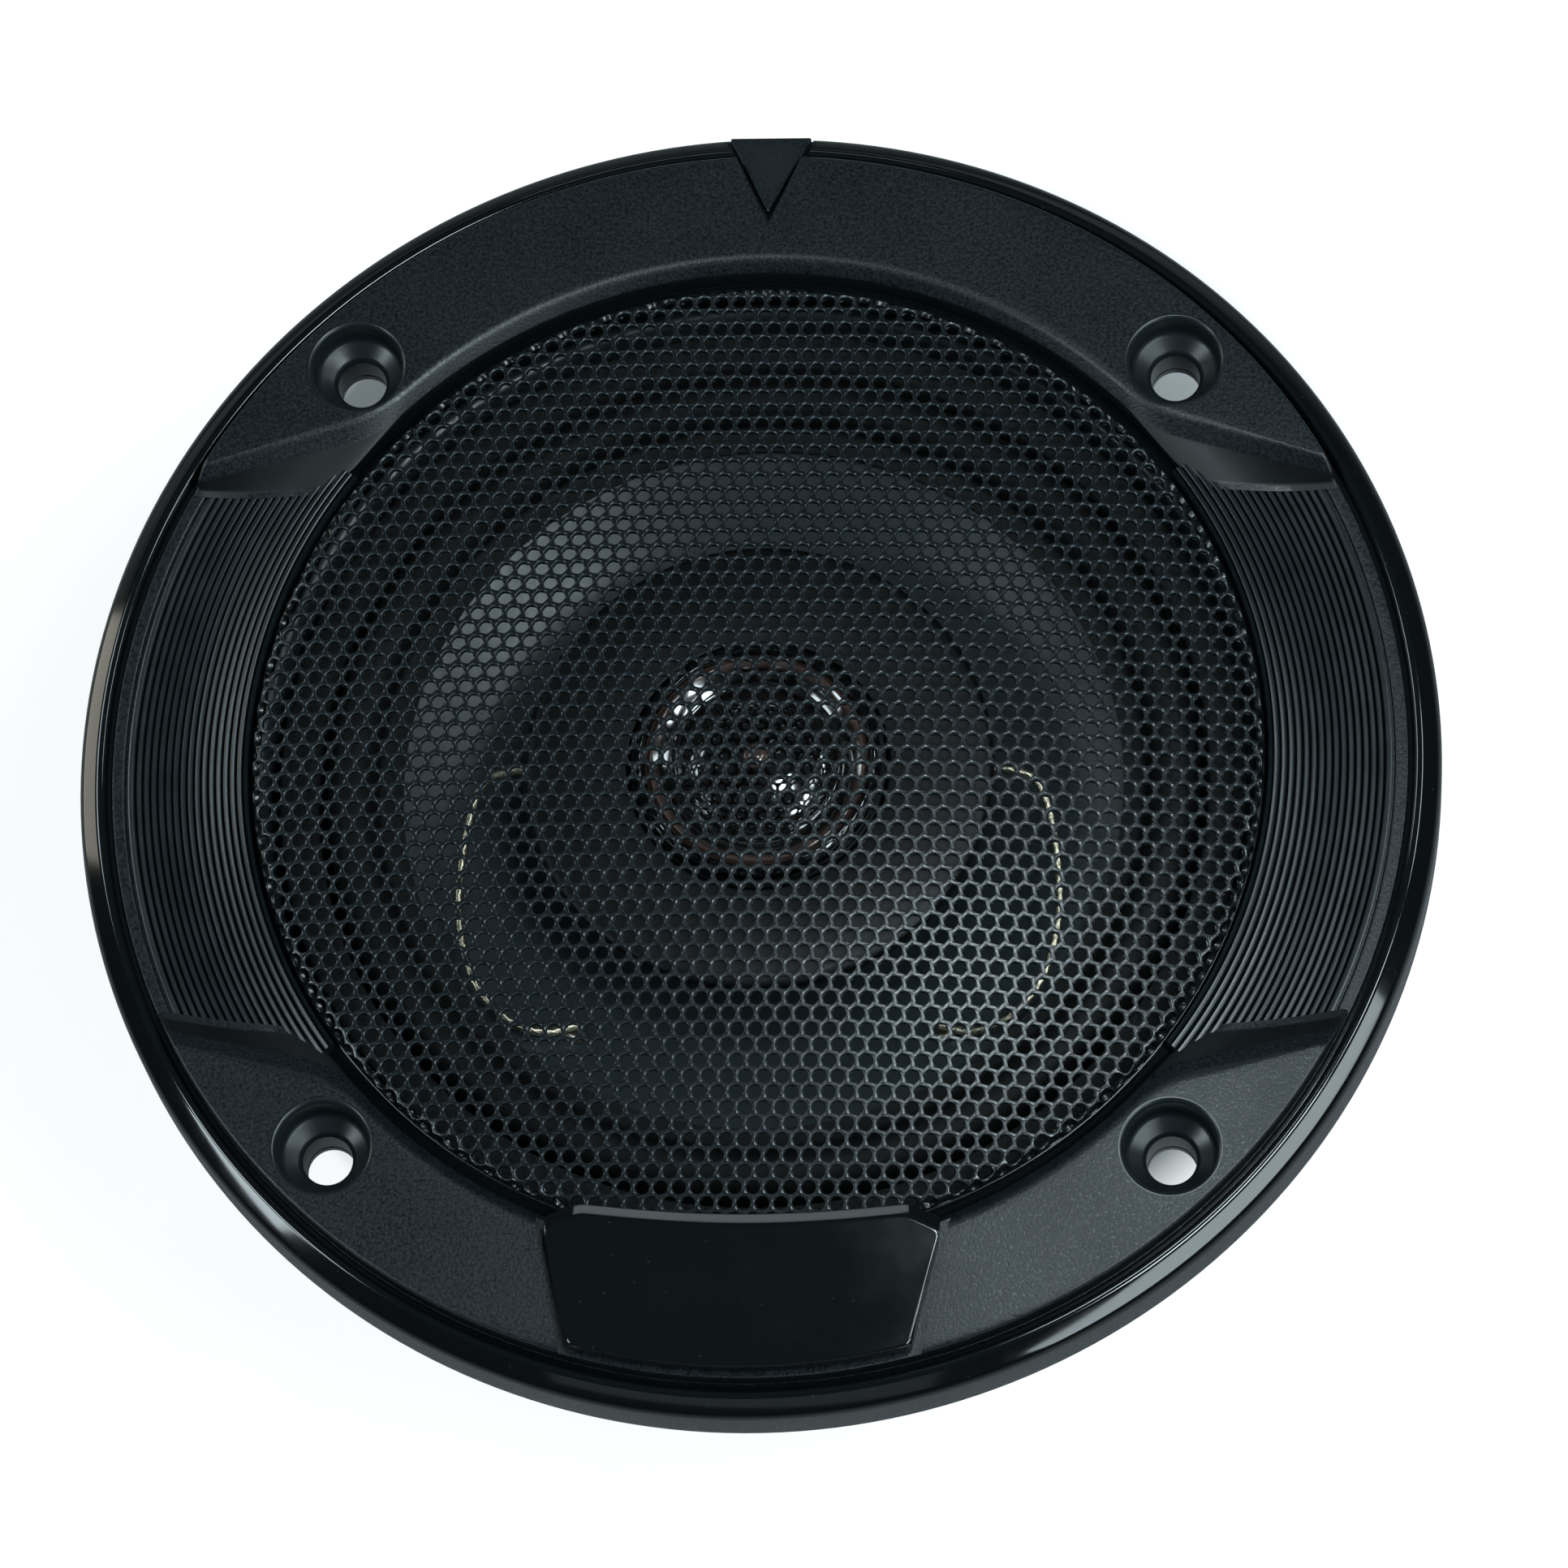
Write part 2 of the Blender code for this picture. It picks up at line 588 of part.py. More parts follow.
def hole_spots():
    reach = FACE_R - MESH_HOLE * 0.58 - 1.1
    spots = []
    for row in range(-8, 9):
        for column in range(-9, 10):
            x = (column + 0.5 * (row % 2)) * MESH_PITCH
            y = row * MESH_PITCH * math.sqrt(3) / 2
            if math.hypot(x, y) < reach:
                spots.append((x, y))
    return spots


def grille_mesh(mats):
    """A domed steel pan with staggered six-sided holes, fewer and larger than the real ones."""
    bm = bmesh.new()
    segments = 40
    edges = []

    def loop(points):
        ring = [bm.verts.new(p) for p in points]
        edges.extend(bm.edges.new((a, b)) for a, b in zip(ring, ring[1:] + ring[:1]))
        return ring

    rim = loop([polar(FACE_R, 360 * j / segments) for j in range(segments)])
    corner = MESH_HOLE / math.sqrt(3)
    holes = []
    for x, y in hole_spots():
        holes.append(loop([polar(corner, 30 + 60 * j) + Vector((x, y, 0)) for j in range(6)]))
    bmesh.ops.triangle_fill(bm, use_beauty=True, edges=edges)
    skin = [face.verts[:] for face in bm.faces]
    lower = {}
    for vert in list(bm.verts):
        radius = vert.co.to_2d().length
        vert.co.z = dome(radius)
        lower[vert] = bm.verts.new((vert.co.x, vert.co.y, vert.co.z - MESH_SHEET))
    for corners in skin:
        bm.faces.new([lower[v] for v in corners])
    for hole in holes:
        bridge(bm, hole, [lower[v] for v in hole])
    wall = [(66.5, 64.4), (66.9, 63.6), (66.9, 61.2), (69.6, 61.2), (69.6, 60.4), (66.1, 60.4), (66.1, 63.4)]
    last = rim
    for radius, z in wall:
        row = [bm.verts.new(polar(radius, 360 * j / segments, z)) for j in range(segments)]
        bridge(bm, last, row)
        last = row
    bridge(bm, last, [lower[v] for v in rim])
    solid("grille_mesh", bm, mats["steel"])


def main():
    clear_scene()
    mats = {
        "zinc": material("Plated steel", (0.42, 0.43, 0.43), 0.35, 1.0),
        "ferrite": material("Ferrite", (0.03, 0.03, 0.032), 0.7),
        "paint": material("Grey black paint", (0.045, 0.05, 0.055), 0.45),
        "kapton": material("Coil former film", (0.35, 0.16, 0.03), 0.4),
        "copper": material("Enamelled copper", (0.55, 0.2, 0.07), 0.35, 1.0),
        "cone": material("Cone paper", (0.09, 0.095, 0.1), 0.8),
        "rubber": material("Surround rubber", (0.012, 0.012, 0.013), 0.6),
        "cloth": material("Spider cloth", (0.5, 0.34, 0.12), 0.9),
        "foam": material("Gasket foam", (0.02, 0.02, 0.02), 0.95),
        "black": material("Black plastic", (0.015, 0.016, 0.018), 0.5),
        "nickel": material("Nickel plate", (0.6, 0.57, 0.52), 0.25, 1.0),
        "film": material("Amber film", (0.42, 0.2, 0.1), 0.15),
        "sleeve": material("Capacitor sleeve", (0.02, 0.025, 0.05), 0.4),
        "brass": material("Brass", (0.6, 0.45, 0.2), 0.3, 1.0),
        "tinsel": material("Braided tinsel", (0.6, 0.55, 0.42), 0.45, 1.0),
        "phenolic": material("Phenolic board", (0.25, 0.13, 0.05), 0.7),
        "frame": material("Matte black plastic", (0.02, 0.022, 0.025), 0.6),
        "gloss": material("Gloss black plastic", (0.006, 0.007, 0.008), 0.12),
        "steel": material("Painted mesh steel", (0.035, 0.038, 0.042), 0.45),
    }
    motor(mats)
    basket(mats)
    moving_system(mats)
    tweeter(mats)
    leads(mats)
    terminals(mats)
    grille_frame(mats)
    grille_mesh(mats)


main()
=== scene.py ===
"""The coaxial car speaker, dressed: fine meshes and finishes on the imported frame, a studio and a camera.

Lengths are millimetres, apart from the lamps and the camera, which are placed in metres.
+Z faces the listener, +Y is the notch, -Y the badge.
"""

import json
import math

import bmesh
import bpy
import numpy as np
from mathutils import Matrix, Vector

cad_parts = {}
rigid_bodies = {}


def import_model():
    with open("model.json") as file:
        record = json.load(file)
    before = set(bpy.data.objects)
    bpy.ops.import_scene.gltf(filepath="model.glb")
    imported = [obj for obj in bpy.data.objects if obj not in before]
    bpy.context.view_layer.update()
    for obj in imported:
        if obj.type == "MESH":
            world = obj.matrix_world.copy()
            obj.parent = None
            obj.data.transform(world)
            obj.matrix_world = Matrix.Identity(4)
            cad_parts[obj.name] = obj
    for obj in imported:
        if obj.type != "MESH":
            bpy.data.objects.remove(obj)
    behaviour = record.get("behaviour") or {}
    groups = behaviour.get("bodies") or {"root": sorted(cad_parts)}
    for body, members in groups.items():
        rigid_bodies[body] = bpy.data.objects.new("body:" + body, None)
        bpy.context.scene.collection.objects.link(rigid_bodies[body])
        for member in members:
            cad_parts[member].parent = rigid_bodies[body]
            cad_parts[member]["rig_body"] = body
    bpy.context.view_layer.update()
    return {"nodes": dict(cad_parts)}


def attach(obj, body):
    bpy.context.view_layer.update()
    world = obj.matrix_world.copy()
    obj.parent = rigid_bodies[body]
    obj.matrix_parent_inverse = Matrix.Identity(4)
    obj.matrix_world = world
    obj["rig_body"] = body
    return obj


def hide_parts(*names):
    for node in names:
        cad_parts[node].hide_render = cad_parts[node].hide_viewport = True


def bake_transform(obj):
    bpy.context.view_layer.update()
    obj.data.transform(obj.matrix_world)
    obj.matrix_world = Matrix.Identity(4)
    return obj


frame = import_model()

MM = 0.001
TAU = 2 * math.pi

# Grille: the moulded ring with its two raised panels, two ribbed scoops and four screw wells
PATTERN_R = 77.5
SCREWS = {"ne": 45, "nw": 135, "sw": 225, "se": 315}
SCREW_HOLE_R = 3.25
WELL_R = 6.0
WELL_LIP_R = 6.75
WELL_FLOOR = 60.5
BOSS_R = 6.6
BOSS_FOOT = 55.5
RIM_R = 89.95
RIM_IN_R = 83.45
RIM_CREST = 63.4
RIM_BAND = 62.4
RIM_GROOVE = 61.9
RIM_UNDER = 60.5
RIM_FOOT = 54.5
RIM_STEPS = 240
NOTCH_HALF = 5.6
NOTCH_TIP = 77.0
NOTCH_EDGE = 89.1
NOTCH_TOP = 65.9
NOTCH_FALL = 2.4
SCOOP_R = (67.4, 83.2)
SCOOP_RIM = 62.2
SCOOP_DIP = 3.2
SCOOP_CLIMB = 5.4
RIB_COUNT = 16
RIB_R = (67.75, 83.3)
RIB_DEPTH = 0.8
PANEL_TOP = 66.0
PANEL_FOOT = 61.5
PANEL_IN_R = 70.2
PANEL_OUT_R = 85.45
PANEL_WALL = 1.6
PANEL_MARGIN = 1.8
CHAMFER_FOOT = 64.3
BADGE_SEAT = 65.2
BADGE_HEAD_HALF = 25.6
BADGE_FOOT_HALF = 22.0
BADGE_HEAD_Y = -62.8
BADGE_FOOT_R = 84.7
# Heights below and above the grille, between which its cutters stand
CUT_LOW = 50
CUT_HIGH = 70
# Plan lines across the right end of each panel, mesh to rim: top edge, chamfer foot, facet foot, strip foot
UPPER_END = (
    ((52.9, 47.65), (74.2, 40.9)),
    ((52.6, 45.2), (74.5, 39.2)),
    ((56.5, 38.5), (75.5, 38.4)),
    ((56.5, 37.6), (75.9, 37.5)),
)
LOWER_END = (
    ((54.4, 45.9), (74.2, 41.0)),
    ((54.0, 43.0), (74.8, 38.6)),
    ((55.0, 39.0), (75.2, 36.5)),
    ((55.9, 37.9), (76.4, 35.2)),
)
# How far the rounding of a panel's end runs, at the mesh and at the rim
KNEE = 5.0
TIP = 1.3

# Perforated steel pan
HOLE_PITCH = 2.4
HOLE_R = 0.95
HOLE_SIDES = 12
SHEET = 0.8
FACE_R = 65.4
FACE_EDGE = 64.9
FACE_RISE = 4.4
SHOULDER_R = 1.5
# Along the skin from the middle: where the face piece meets the shoulder piece, and where the holes end
FACE_RUN = 50
HOLES_RUN = 67.6
HEM_IN_R = 66.05
HEM_OUT_R = 69.6

# Motor, stacked on the axis
YOKE_R = 37
YOKE_TOP = 5
POLE_R = 12.2
POLE_TOP = 23.5
POLE_BORE_R = 4.3
MAGNET_R = (20, 40)
MAGNET_Z = (5.3, 18.3)
TOP_PLATE_R = (13.95, 37)
TOP_PLATE_Z = (18.6, 23.1)
RIVET_CIRCLE_R = 28
RIVET_HOLE_R = 1.95
RIVET_SHANK_R = 1.6
RIVET_TOP = 26.0

# Basket
BASKET_SHEET = 1.0
FLANGE_TOP = 55.2
FLANGE_R = 72.5
EAR_R = 83.6
EAR_HALF_DEGREES = 11.0
EAR_FADE_DEGREES = 6.0
WINDOW_HALF_DEGREES = 22.5
WINDOW_LENGTH = 19.7
WINDOW_EASE = 3.0
# One degree along the wall at the middle of a window
DEGREE = 0.86

# Moving system
CONE_NECK = (13.35, 33.0)
CONE_RIM = (49.6, 51.0)
CONE_SHEET = 0.7
FORMER_R = (12.65, 12.95)
FORMER_Z = (14.5, 33.6)
COIL_R = (13.25, 13.6)
COIL_Z = (16.8, 24.8)
GASKET_R = (59.4, 64.4)
GASKET_Z = (49.6, 54.6)
SURROUND_SHEET = 0.7
SPIDER_SHEET = 0.6
SECTORS = 12
LEAD_R = 0.6

# Tweeter
POST_BASE_R = 10.4
POST_R = 6
POST_HEAD_R = 12.6
BAFFLE_R = 31.2
BAFFLE_Z = (57, 59.5)
TWEETER_R = 16.4
FILM_SHEET = 0.4

# Studio and camera
FLOOR = -0.2
FLOOR_R = 4000
# The speaker's shade on the paper: its middle, and the radii between which it clears
SHADE_Y = 29
SHADE_R = (82, 90)
LENS = 175.28
SENSOR = 36.0
CAMERA_PLACE = (0.07918, -0.34943, 1.00127)
CAMERA_BACK = (0.0752, -0.3445, 0.9358)
CAMERA_UP = (0.0042, 0.9385, 0.3451)


# Shapes: each is a pair, points in millimetres and faces as point numbers
def weave(rows, along=True):
    """Quads between neighbouring closed rows of point numbers. Along joins the last row to the first."""
    here, there = (rows, np.roll(rows, -1, 0)) if along else (rows[:-1], rows[1:])
    quads = np.stack([here, np.roll(here, -1, 1), np.roll(there, -1, 1), there], -1)
    return quads.reshape(-1, 4).tolist()


def softened(points, steps=4, closed=True):
    """An outline whose corners are rounded where a point has a third value, its radius."""
    smooth = []
    count = len(points)
    for i, corner in enumerate(points):
        at = np.array(corner[:2], float)
        if len(corner) < 3 or (not closed and i in (0, count - 1)):
            smooth.append(tuple(at))
            continue
        before = np.array(points[i - 1][:2], float) - at
        after = np.array(points[(i + 1) % count][:2], float) - at
        before *= min(corner[2] / np.linalg.norm(before), 0.48)
        after *= min(corner[2] / np.linalg.norm(after), 0.48)
        for t in np.linspace(0, 1, steps + 1):
            smooth.append(tuple(at + before * (1 - t) ** 2 + after * t**2))
    return smooth


def offset(points, distance):
    """The polyline moved sideways by distance, with mitred corners."""
    at = np.array(points, float)
    runs = np.diff(at, axis=0)
    runs /= np.linalg.norm(runs, axis=1)[:, None]
    sides = np.stack([-runs[:, 1], runs[:, 0]], -1)
    mean = (np.vstack([sides[:1], sides]) + np.vstack([sides, sides[-1:]])) / 2
    return at + mean * (distance / np.maximum((mean**2).sum(1), 0.35))[:, None]


def pressed(points, thickness):
    """The closed profile of a sheet whose upper face follows points."""
    return np.vstack([points, offset(points, -thickness)[::-1]])


def lathe(profile, segments=144, centre=(0.0, 0.0), arc=None):
    """A closed (radius, height) profile turned about an upright axis. An arc, in degrees, makes a wedge."""
    turns = np.radians(np.linspace(*(arc or (0, 360)), segments + 1))
    if arc is None:
        turns = turns[:-1]
    radius, height = np.array(profile, float)[:, :2].T
    x = centre[0] + np.outer(np.cos(turns), radius)
    y = centre[1] + np.outer(np.sin(turns), radius)
    points = np.stack([x, y, np.broadcast_to(height, x.shape)], -1).reshape(-1, 3)
    rows = np.arange(len(points)).reshape(len(turns), -1)
    faces = weave(rows, along=arc is None)
    if arc is not None:
        faces += [rows[0].tolist(), rows[-1].tolist()]
    return points, faces


def loft(loops):
    """A closed skin through loops of equally many points, capped at both ends."""
    rows = np.arange(len(loops) * len(loops[0])).reshape(len(loops), -1)
    faces = weave(rows, along=False) + [rows[0].tolist(), rows[-1].tolist()]
    return np.vstack(loops), faces


def prism(outline, low, high):
    """An upright prism. Each height is one number, or one for each corner."""
    flat = np.array(outline, float)[:, :2]
    levels = [np.broadcast_to(np.asarray(z, float), len(flat)) for z in (low, high)]
    return loft([np.column_stack([flat, z]) for z in levels])


def joined(*shapes):
    """Several shapes as one."""
    points, faces = [], []
    for at, around in shapes:
        start = sum(map(len, points))
        faces += [[start + i for i in face] for face in around]
        points.append(at)
    return np.vstack(points), faces


def moved(shape, origin, upward):
    """An upright shape turned so that its +Z follows upward, at origin."""
    turn = np.array(Vector(upward).to_track_quat("Z", "Y").to_matrix())
    return shape[0] @ turn.T + np.array(origin), shape[1]


def polar(radius, degrees, z=0.0):
    """The point at a radius and a turn about the axis."""
    angle = math.radians(degrees)
    return Vector((radius * math.cos(angle), radius * math.sin(angle), z))


def eased(points, spacing):
    """Evenly spaced points along a smooth curve through the given points."""
    points = [np.array(p, float) for p in points]
    ends = [points[0] * 2 - points[1], *points, points[-1] * 2 - points[-2]]
    fine = []
    for a, b, c, d in zip(ends, ends[1:], ends[2:], ends[3:]):
        for t in np.linspace(0, 1, 40, endpoint=False):
            along = (c - a) * t + (2 * a - 5 * b + 4 * c - d) * t**2
            fine.append(b + (along + (3 * b - a - 3 * c + d) * t**3) / 2)
    fine = np.array(fine + [points[-1]])
    run = np.concatenate([[0], np.cumsum(np.linalg.norm(np.diff(fine, axis=0), axis=1))])
    steps = np.linspace(0, run[-1], int(run[-1] / spacing) + 1)
    return np.stack([np.interp(steps, run, fine[:, i]) for i in range(3)], -1)


def braid(path, radius, strands=4, lay=5.0, sides=24):
    """A braided lead: crossing strands stand out as lobes that wind both ways round it, once in each lay."""
    rows = []
    side = np.array([0.0, 0.0, 1.0])
    angles = np.linspace(0, TAU, sides, endpoint=False)
    run = 0.0
    for i, point in enumerate(path):
        along = path[min(i + 1, len(path) - 1)] - path[max(i - 1, 0)]
        along /= np.linalg.norm(along)
        side = side - along * side.dot(along)
        side /= np.linalg.norm(side)
        run += np.linalg.norm(point - path[i - 1]) if i else 0
        wound = TAU * run / lay * strands / 2
        around = strands * angles / 2
        lobes = np.maximum(np.cos(around + wound) ** 2, np.cos(around - wound) ** 2)
        reach = radius * (0.8 + 0.2 * lobes)
        across = np.cross(along, side)
        ring = np.outer(np.cos(angles) * reach, side) + np.outer(np.sin(angles) * reach, across)
        rows.append(point + ring)
    return loft(rows)


# Finishes
def srgb(code):
    """A linear colour from an sRGB hex code."""
    values = [int(code[i : i + 2], 16) / 255 for i in (1, 3, 5)]
    return (*(v / 12.92 if v < 0.04045 else ((v + 0.055) / 1.055) ** 2.4 for v in values), 1.0)


def plug(tree, node, inputs):
    """Sets sockets to values, or links them to the sockets given."""
    for key, value in inputs.items():
        if isinstance(value, bpy.types.NodeSocket):
            tree.links.new(value, node.inputs[key])
        else:
            node.inputs[key].default_value = value


def add(tree, kind, inputs=None, out=0, **settings):
    """Adds a node with its settings and links, and returns one of its outputs."""
    node = tree.nodes.new("ShaderNode" + kind)
    for key, value in settings.items():
        setattr(node, key, value)
    plug(tree, node, inputs or {})
    return node.outputs[out]


def per(size):
    """Texture scale at which one cell is about size millimetres wide."""
    return 1 / (size * MM)


def blank(name):
    """A new material: itself, its node tree, its shader and the place on the object."""
    mat = bpy.data.materials.new(name)
    mat.use_nodes = True
    tree = mat.node_tree
    return mat, tree, tree.nodes["Principled BSDF"], add(tree, "TexCoord", out="Object")


def mottle(tree, shader, pattern, tones, roughs, **rest):
    """Sets a shader whose colour and roughness change together over a pattern, from low places to high."""
    dark, light = map(srgb, tones)
    tone = add(tree, "Mix", {0: pattern, 6: dark, 7: light}, data_type="RGBA", out=2)
    rough = add(tree, "MapRange", {"Value": pattern, 1: 0.3, 2: 0.7, 3: roughs[0], 4: roughs[1]})
    plug(tree, shader, {"Base Color": tone, "Roughness": rough, **rest})


def spark_eroded_abs():
    """ABS moulded in a spark-eroded tool: a dull black skin of fine pits, with single facets that glint."""
    mat, tree, shader, place = blank("Spark-eroded ABS")
    # The pits of the tool are about 0.1 mm wide: drawn at 0.42 mm so that they show
    pits = add(tree, "TexNoise", {"Vector": place, "Scale": per(0.42), "Detail": 3.0, "Roughness": 0.65})
    cloud = add(tree, "TexNoise", {"Vector": place, "Scale": per(14), "Detail": 2.0})
    facets = add(tree, "MapRange", {"Value": pits, 1: 0.36, 2: 0.64, 3: 0.0, 4: 1.0})
    tone = add(tree, "Mix", {0: facets, 6: srgb("#030507"), 7: srgb("#12191d")}, data_type="RGBA", out=2)
    worn = add(tree, "MapRange", {"Value": cloud, 1: 0.3, 2: 0.7, 3: 0.27, 4: 0.32})
    dull = add(tree, "Math", {0: facets, 1: 0.13, 2: worn}, operation="MULTIPLY_ADD")
    grain = add(tree, "Bump", {"Height": facets, "Strength": 0.35, "Distance": 0.04 * MM})
    plug(tree, shader, {"Base Color": tone, "Roughness": dull, "Normal": grain, "IOR": 1.43})
    return mat


def polished_abs():
    """ABS from a polished tool: deep black, mirror-like, with a few faint rub marks and settled dust."""
    mat, tree, shader, place = blank("Polished ABS")
    rub = add(tree, "TexNoise", {"Vector": place, "Scale": per(9), "Detail": 4.0, "Roughness": 0.6})
    dust = add(tree, "TexVoronoi", {"Vector": place, "Scale": per(2.2)})
    specks = add(tree, "MapRange", {"Value": dust, 1: 0.05, 2: 0.09, 3: 1.0, 4: 0.0})
    tone = add(tree, "Mix", {0: specks, 6: srgb("#060809"), 7: srgb("#1a1e20")}, data_type="RGBA", out=2)
    gloss = add(tree, "MapRange", {"Value": rub, 1: 0.35, 2: 0.75, 3: 0.06, 4: 0.11})
    plug(tree, shader, {"Base Color": tone, "Roughness": gloss, "IOR": 1.53})
    return mat


def fine_abs(name, tones, roughs, ior):
    """ABS from a tool with a fine, even skin: black, with a sheen that drifts as the melt has flowed."""
    mat, tree, shader, place = blank(name)
    flow = add(tree, "TexNoise", {"Vector": place, "Scale": per(6), "Detail": 5.0, "Roughness": 0.6})
    skin = add(tree, "TexNoise", {"Vector": place, "Scale": per(0.35), "Detail": 2.0})
    grain = add(tree, "Bump", {"Height": skin, "Strength": 0.2, "Distance": 0.02 * MM})
    mottle(tree, shader, flow, tones, roughs, Normal=grain, IOR=ior)
    return mat


def powder_coated_steel():
    """Punched steel under a black powder coat: satin and slightly pebbled."""
    mat, tree, shader, place = blank("Powder-coated steel")
    pebble = add(tree, "TexNoise", {"Vector": place, "Scale": per(0.5), "Detail": 2.0})
    cloud = add(tree, "TexNoise", {"Vector": place, "Scale": per(11), "Detail": 3.0})
    tone = add(tree, "Mix", {0: cloud, 6: srgb("#06090b"), 7: srgb("#0d1114")}, data_type="RGBA", out=2)
    satin = add(tree, "MapRange", {"Value": pebble, 1: 0.3, 2: 0.7, 3: 0.21, 4: 0.29})
    skin = add(tree, "Bump", {"Height": pebble, "Strength": 0.25, "Distance": 0.03 * MM})
    plug(tree, shader, {"Base Color": tone, "Roughness": satin, "Normal": skin, "IOR": 1.5})
    return mat


def rim_highlight_powder_coat():
    """Powder coat on a punched edge, smoother, and painted greyer as a highlight, so that each rim catches
    the light.
    """
    mat, tree, shader, place = blank("Powder coat with painted rim highlight")
    rim_highlight_mottle = add(tree, "TexNoise", {"Vector": place, "Scale": per(1.6), "Detail": 3.0})
    mottle(tree, shader, rim_highlight_mottle, ("#1e2629", "#363f43"), (0.15, 0.23), IOR=1.5)
    return mat


def pressed_pulp():
    """Paper pulp felted on a screen and coated: mid grey with a soft sheen, flecked with short fibres."""
    mat, tree, shader, place = blank("Pressed paper pulp")
    fibre = add(tree, "TexNoise", {"Vector": place, "Scale": per(0.7), "Detail": 5.0, "Distortion": 2.5})
    cloud = add(tree, "TexNoise", {"Vector": place, "Scale": per(8), "Detail": 3.0})
    felt = add(tree, "Mix", {0: fibre, 6: srgb("#252b2f"), 7: srgb("#3e464a")}, data_type="RGBA", out=2)
    tone = add(tree, "Mix", {0: cloud, 6: felt, 7: srgb("#31383b")}, data_type="RGBA", out=2)
    dull = add(tree, "MapRange", {"Value": fibre, 1: 0.3, 2: 0.7, 3: 0.27, 4: 0.36})
    nap = add(tree, "Bump", {"Height": fibre, "Strength": 0.35, "Distance": 0.05 * MM})
    plug(tree, shader, {"Base Color": tone, "Roughness": dull, "Normal": nap, "IOR": 1.56})
    return mat


def butyl_rubber():
    """Moulded butyl: soft black with a faint bloom that lightens it in patches."""
    mat, tree, shader, place = blank("Butyl rubber")
    bloom = add(tree, "TexNoise", {"Vector": place, "Scale": per(7), "Detail": 5.0, "Roughness": 0.65})
    skin = add(tree, "TexNoise", {"Vector": place, "Scale": per(0.4), "Detail": 2.0})
    grain = add(tree, "Bump", {"Height": skin, "Strength": 0.25, "Distance": 0.03 * MM})
    mottle(tree, shader, bloom, ("#030404", "#0a0b0c"), (0.58, 0.72), Normal=grain, IOR=1.38)
    return mat


def dipped_cotton():
    """Cotton dipped in phenolic resin and pressed into waves: a tan plain weave with a stiff, dry surface."""
    mat, tree, shader, place = blank("Resin-dipped cotton")
    # The real threads are 0.35 mm apart: drawn at 0.8 mm so that the weave shows
    sets = {"Vector": place, "Scale": per(0.8) / TAU * 0.5, "Distortion": 0.6, "Detail": 1.0}
    warp = add(tree, "TexWave", sets, bands_direction="X", out="Fac")
    weft = add(tree, "TexWave", sets, bands_direction="Y", out="Fac")
    cloth = add(tree, "Math", {0: warp, 1: weft}, operation="MAXIMUM")
    soak = add(tree, "TexNoise", {"Vector": place, "Scale": per(5), "Detail": 4.0})
    thread = add(tree, "Mix", {0: cloth, 6: srgb("#5a4022"), 7: srgb("#a37f45")}, data_type="RGBA", out=2)
    tone = add(tree, "Mix", {0: soak, 6: thread, 7: srgb("#7c5a2c")}, data_type="RGBA", out=2)
    nap = add(tree, "Bump", {"Height": cloth, "Strength": 0.6, "Distance": 0.1 * MM})
    plug(tree, shader, {"Base Color": tone, "Roughness": 0.85, "Normal": nap, "IOR": 1.5})
    return mat


def closed_cell_foam():
    """Closed-cell foam strip: charcoal, quite dry, with small round cells cut open on its faces."""
    mat, tree, shader, place = blank("Closed-cell foam")
    cells = add(tree, "TexVoronoi", {"Vector": place, "Scale": per(0.7)})
    tone = add(tree, "Mix", {0: cells, 6: srgb("#0a0b0b"), 7: srgb("#232526")}, data_type="RGBA", out=2)
    pores = add(tree, "Bump", {"Height": cells, "Strength": 0.7, "Distance": 0.15 * MM})
    plug(tree, shader, {"Base Color": tone, "Roughness": 0.95, "Normal": pores, "IOR": 1.45})
    return mat


def moulded_polypropylene():
    """Talc-filled polypropylene: black with a waxy half-gloss and the flow of the melt just visible."""
    mat, tree, shader, place = blank("Moulded polypropylene")
    flow = add(tree, "TexNoise", {"Vector": place, "Scale": per(5), "Detail": 4.0, "Distortion": 1.2})
    skin = add(tree, "TexNoise", {"Vector": place, "Scale": per(0.5), "Detail": 2.0})
    grain = add(tree, "Bump", {"Height": skin, "Strength": 0.25, "Distance": 0.03 * MM})
    mottle(tree, shader, flow, ("#020303", "#070809"), (0.36, 0.46), Normal=grain, IOR=1.4)
    return mat


def polyetherimide_film():
    """Thermoformed polyetherimide: wet-looking and brown-amber where it is backed, with painted shade that
    makes it black over its cavity.
    """
    mat, tree, shader, place = blank("Polyetherimide film")
    flat = add(tree, "VectorMath", {0: place, 1: (1, 1, 0)}, operation="MULTIPLY")
    reach = add(tree, "VectorMath", {0: flat}, operation="LENGTH", out="Value")
    outer = add(tree, "MapRange", {"Value": reach, 1: 12.9 * MM, 2: 13.9 * MM, 3: 0.0, 4: 1.0})
    nub = add(tree, "MapRange", {"Value": reach, 1: 1.2 * MM, 2: 1.9 * MM, 3: 1.0, 4: 0.0})
    unshaded_amber = add(tree, "Math", {0: outer, 1: nub}, operation="MAXIMUM")
    stress = add(tree, "TexNoise", {"Vector": place, "Scale": per(2.5), "Detail": 3.0})
    amber = add(tree, "Mix", {0: stress, 6: srgb("#463530"), 7: srgb("#66524b")}, data_type="RGBA", out=2)
    # Painted shade: between the nub and the outer band, over the cavity, the film is drawn near black
    tone = add(tree, "Mix", {0: unshaded_amber, 6: srgb("#0d0a09"), 7: amber}, data_type="RGBA", out=2)
    wet = add(tree, "MapRange", {"Value": stress, 1: 0.3, 2: 0.7, 3: 0.06, 4: 0.12})
    coat = {"Coat Weight": 0.6, "Coat Roughness": 0.04}
    plug(tree, shader, {"Base Color": tone, "Roughness": wet, "IOR": 1.66, **coat})
    return mat


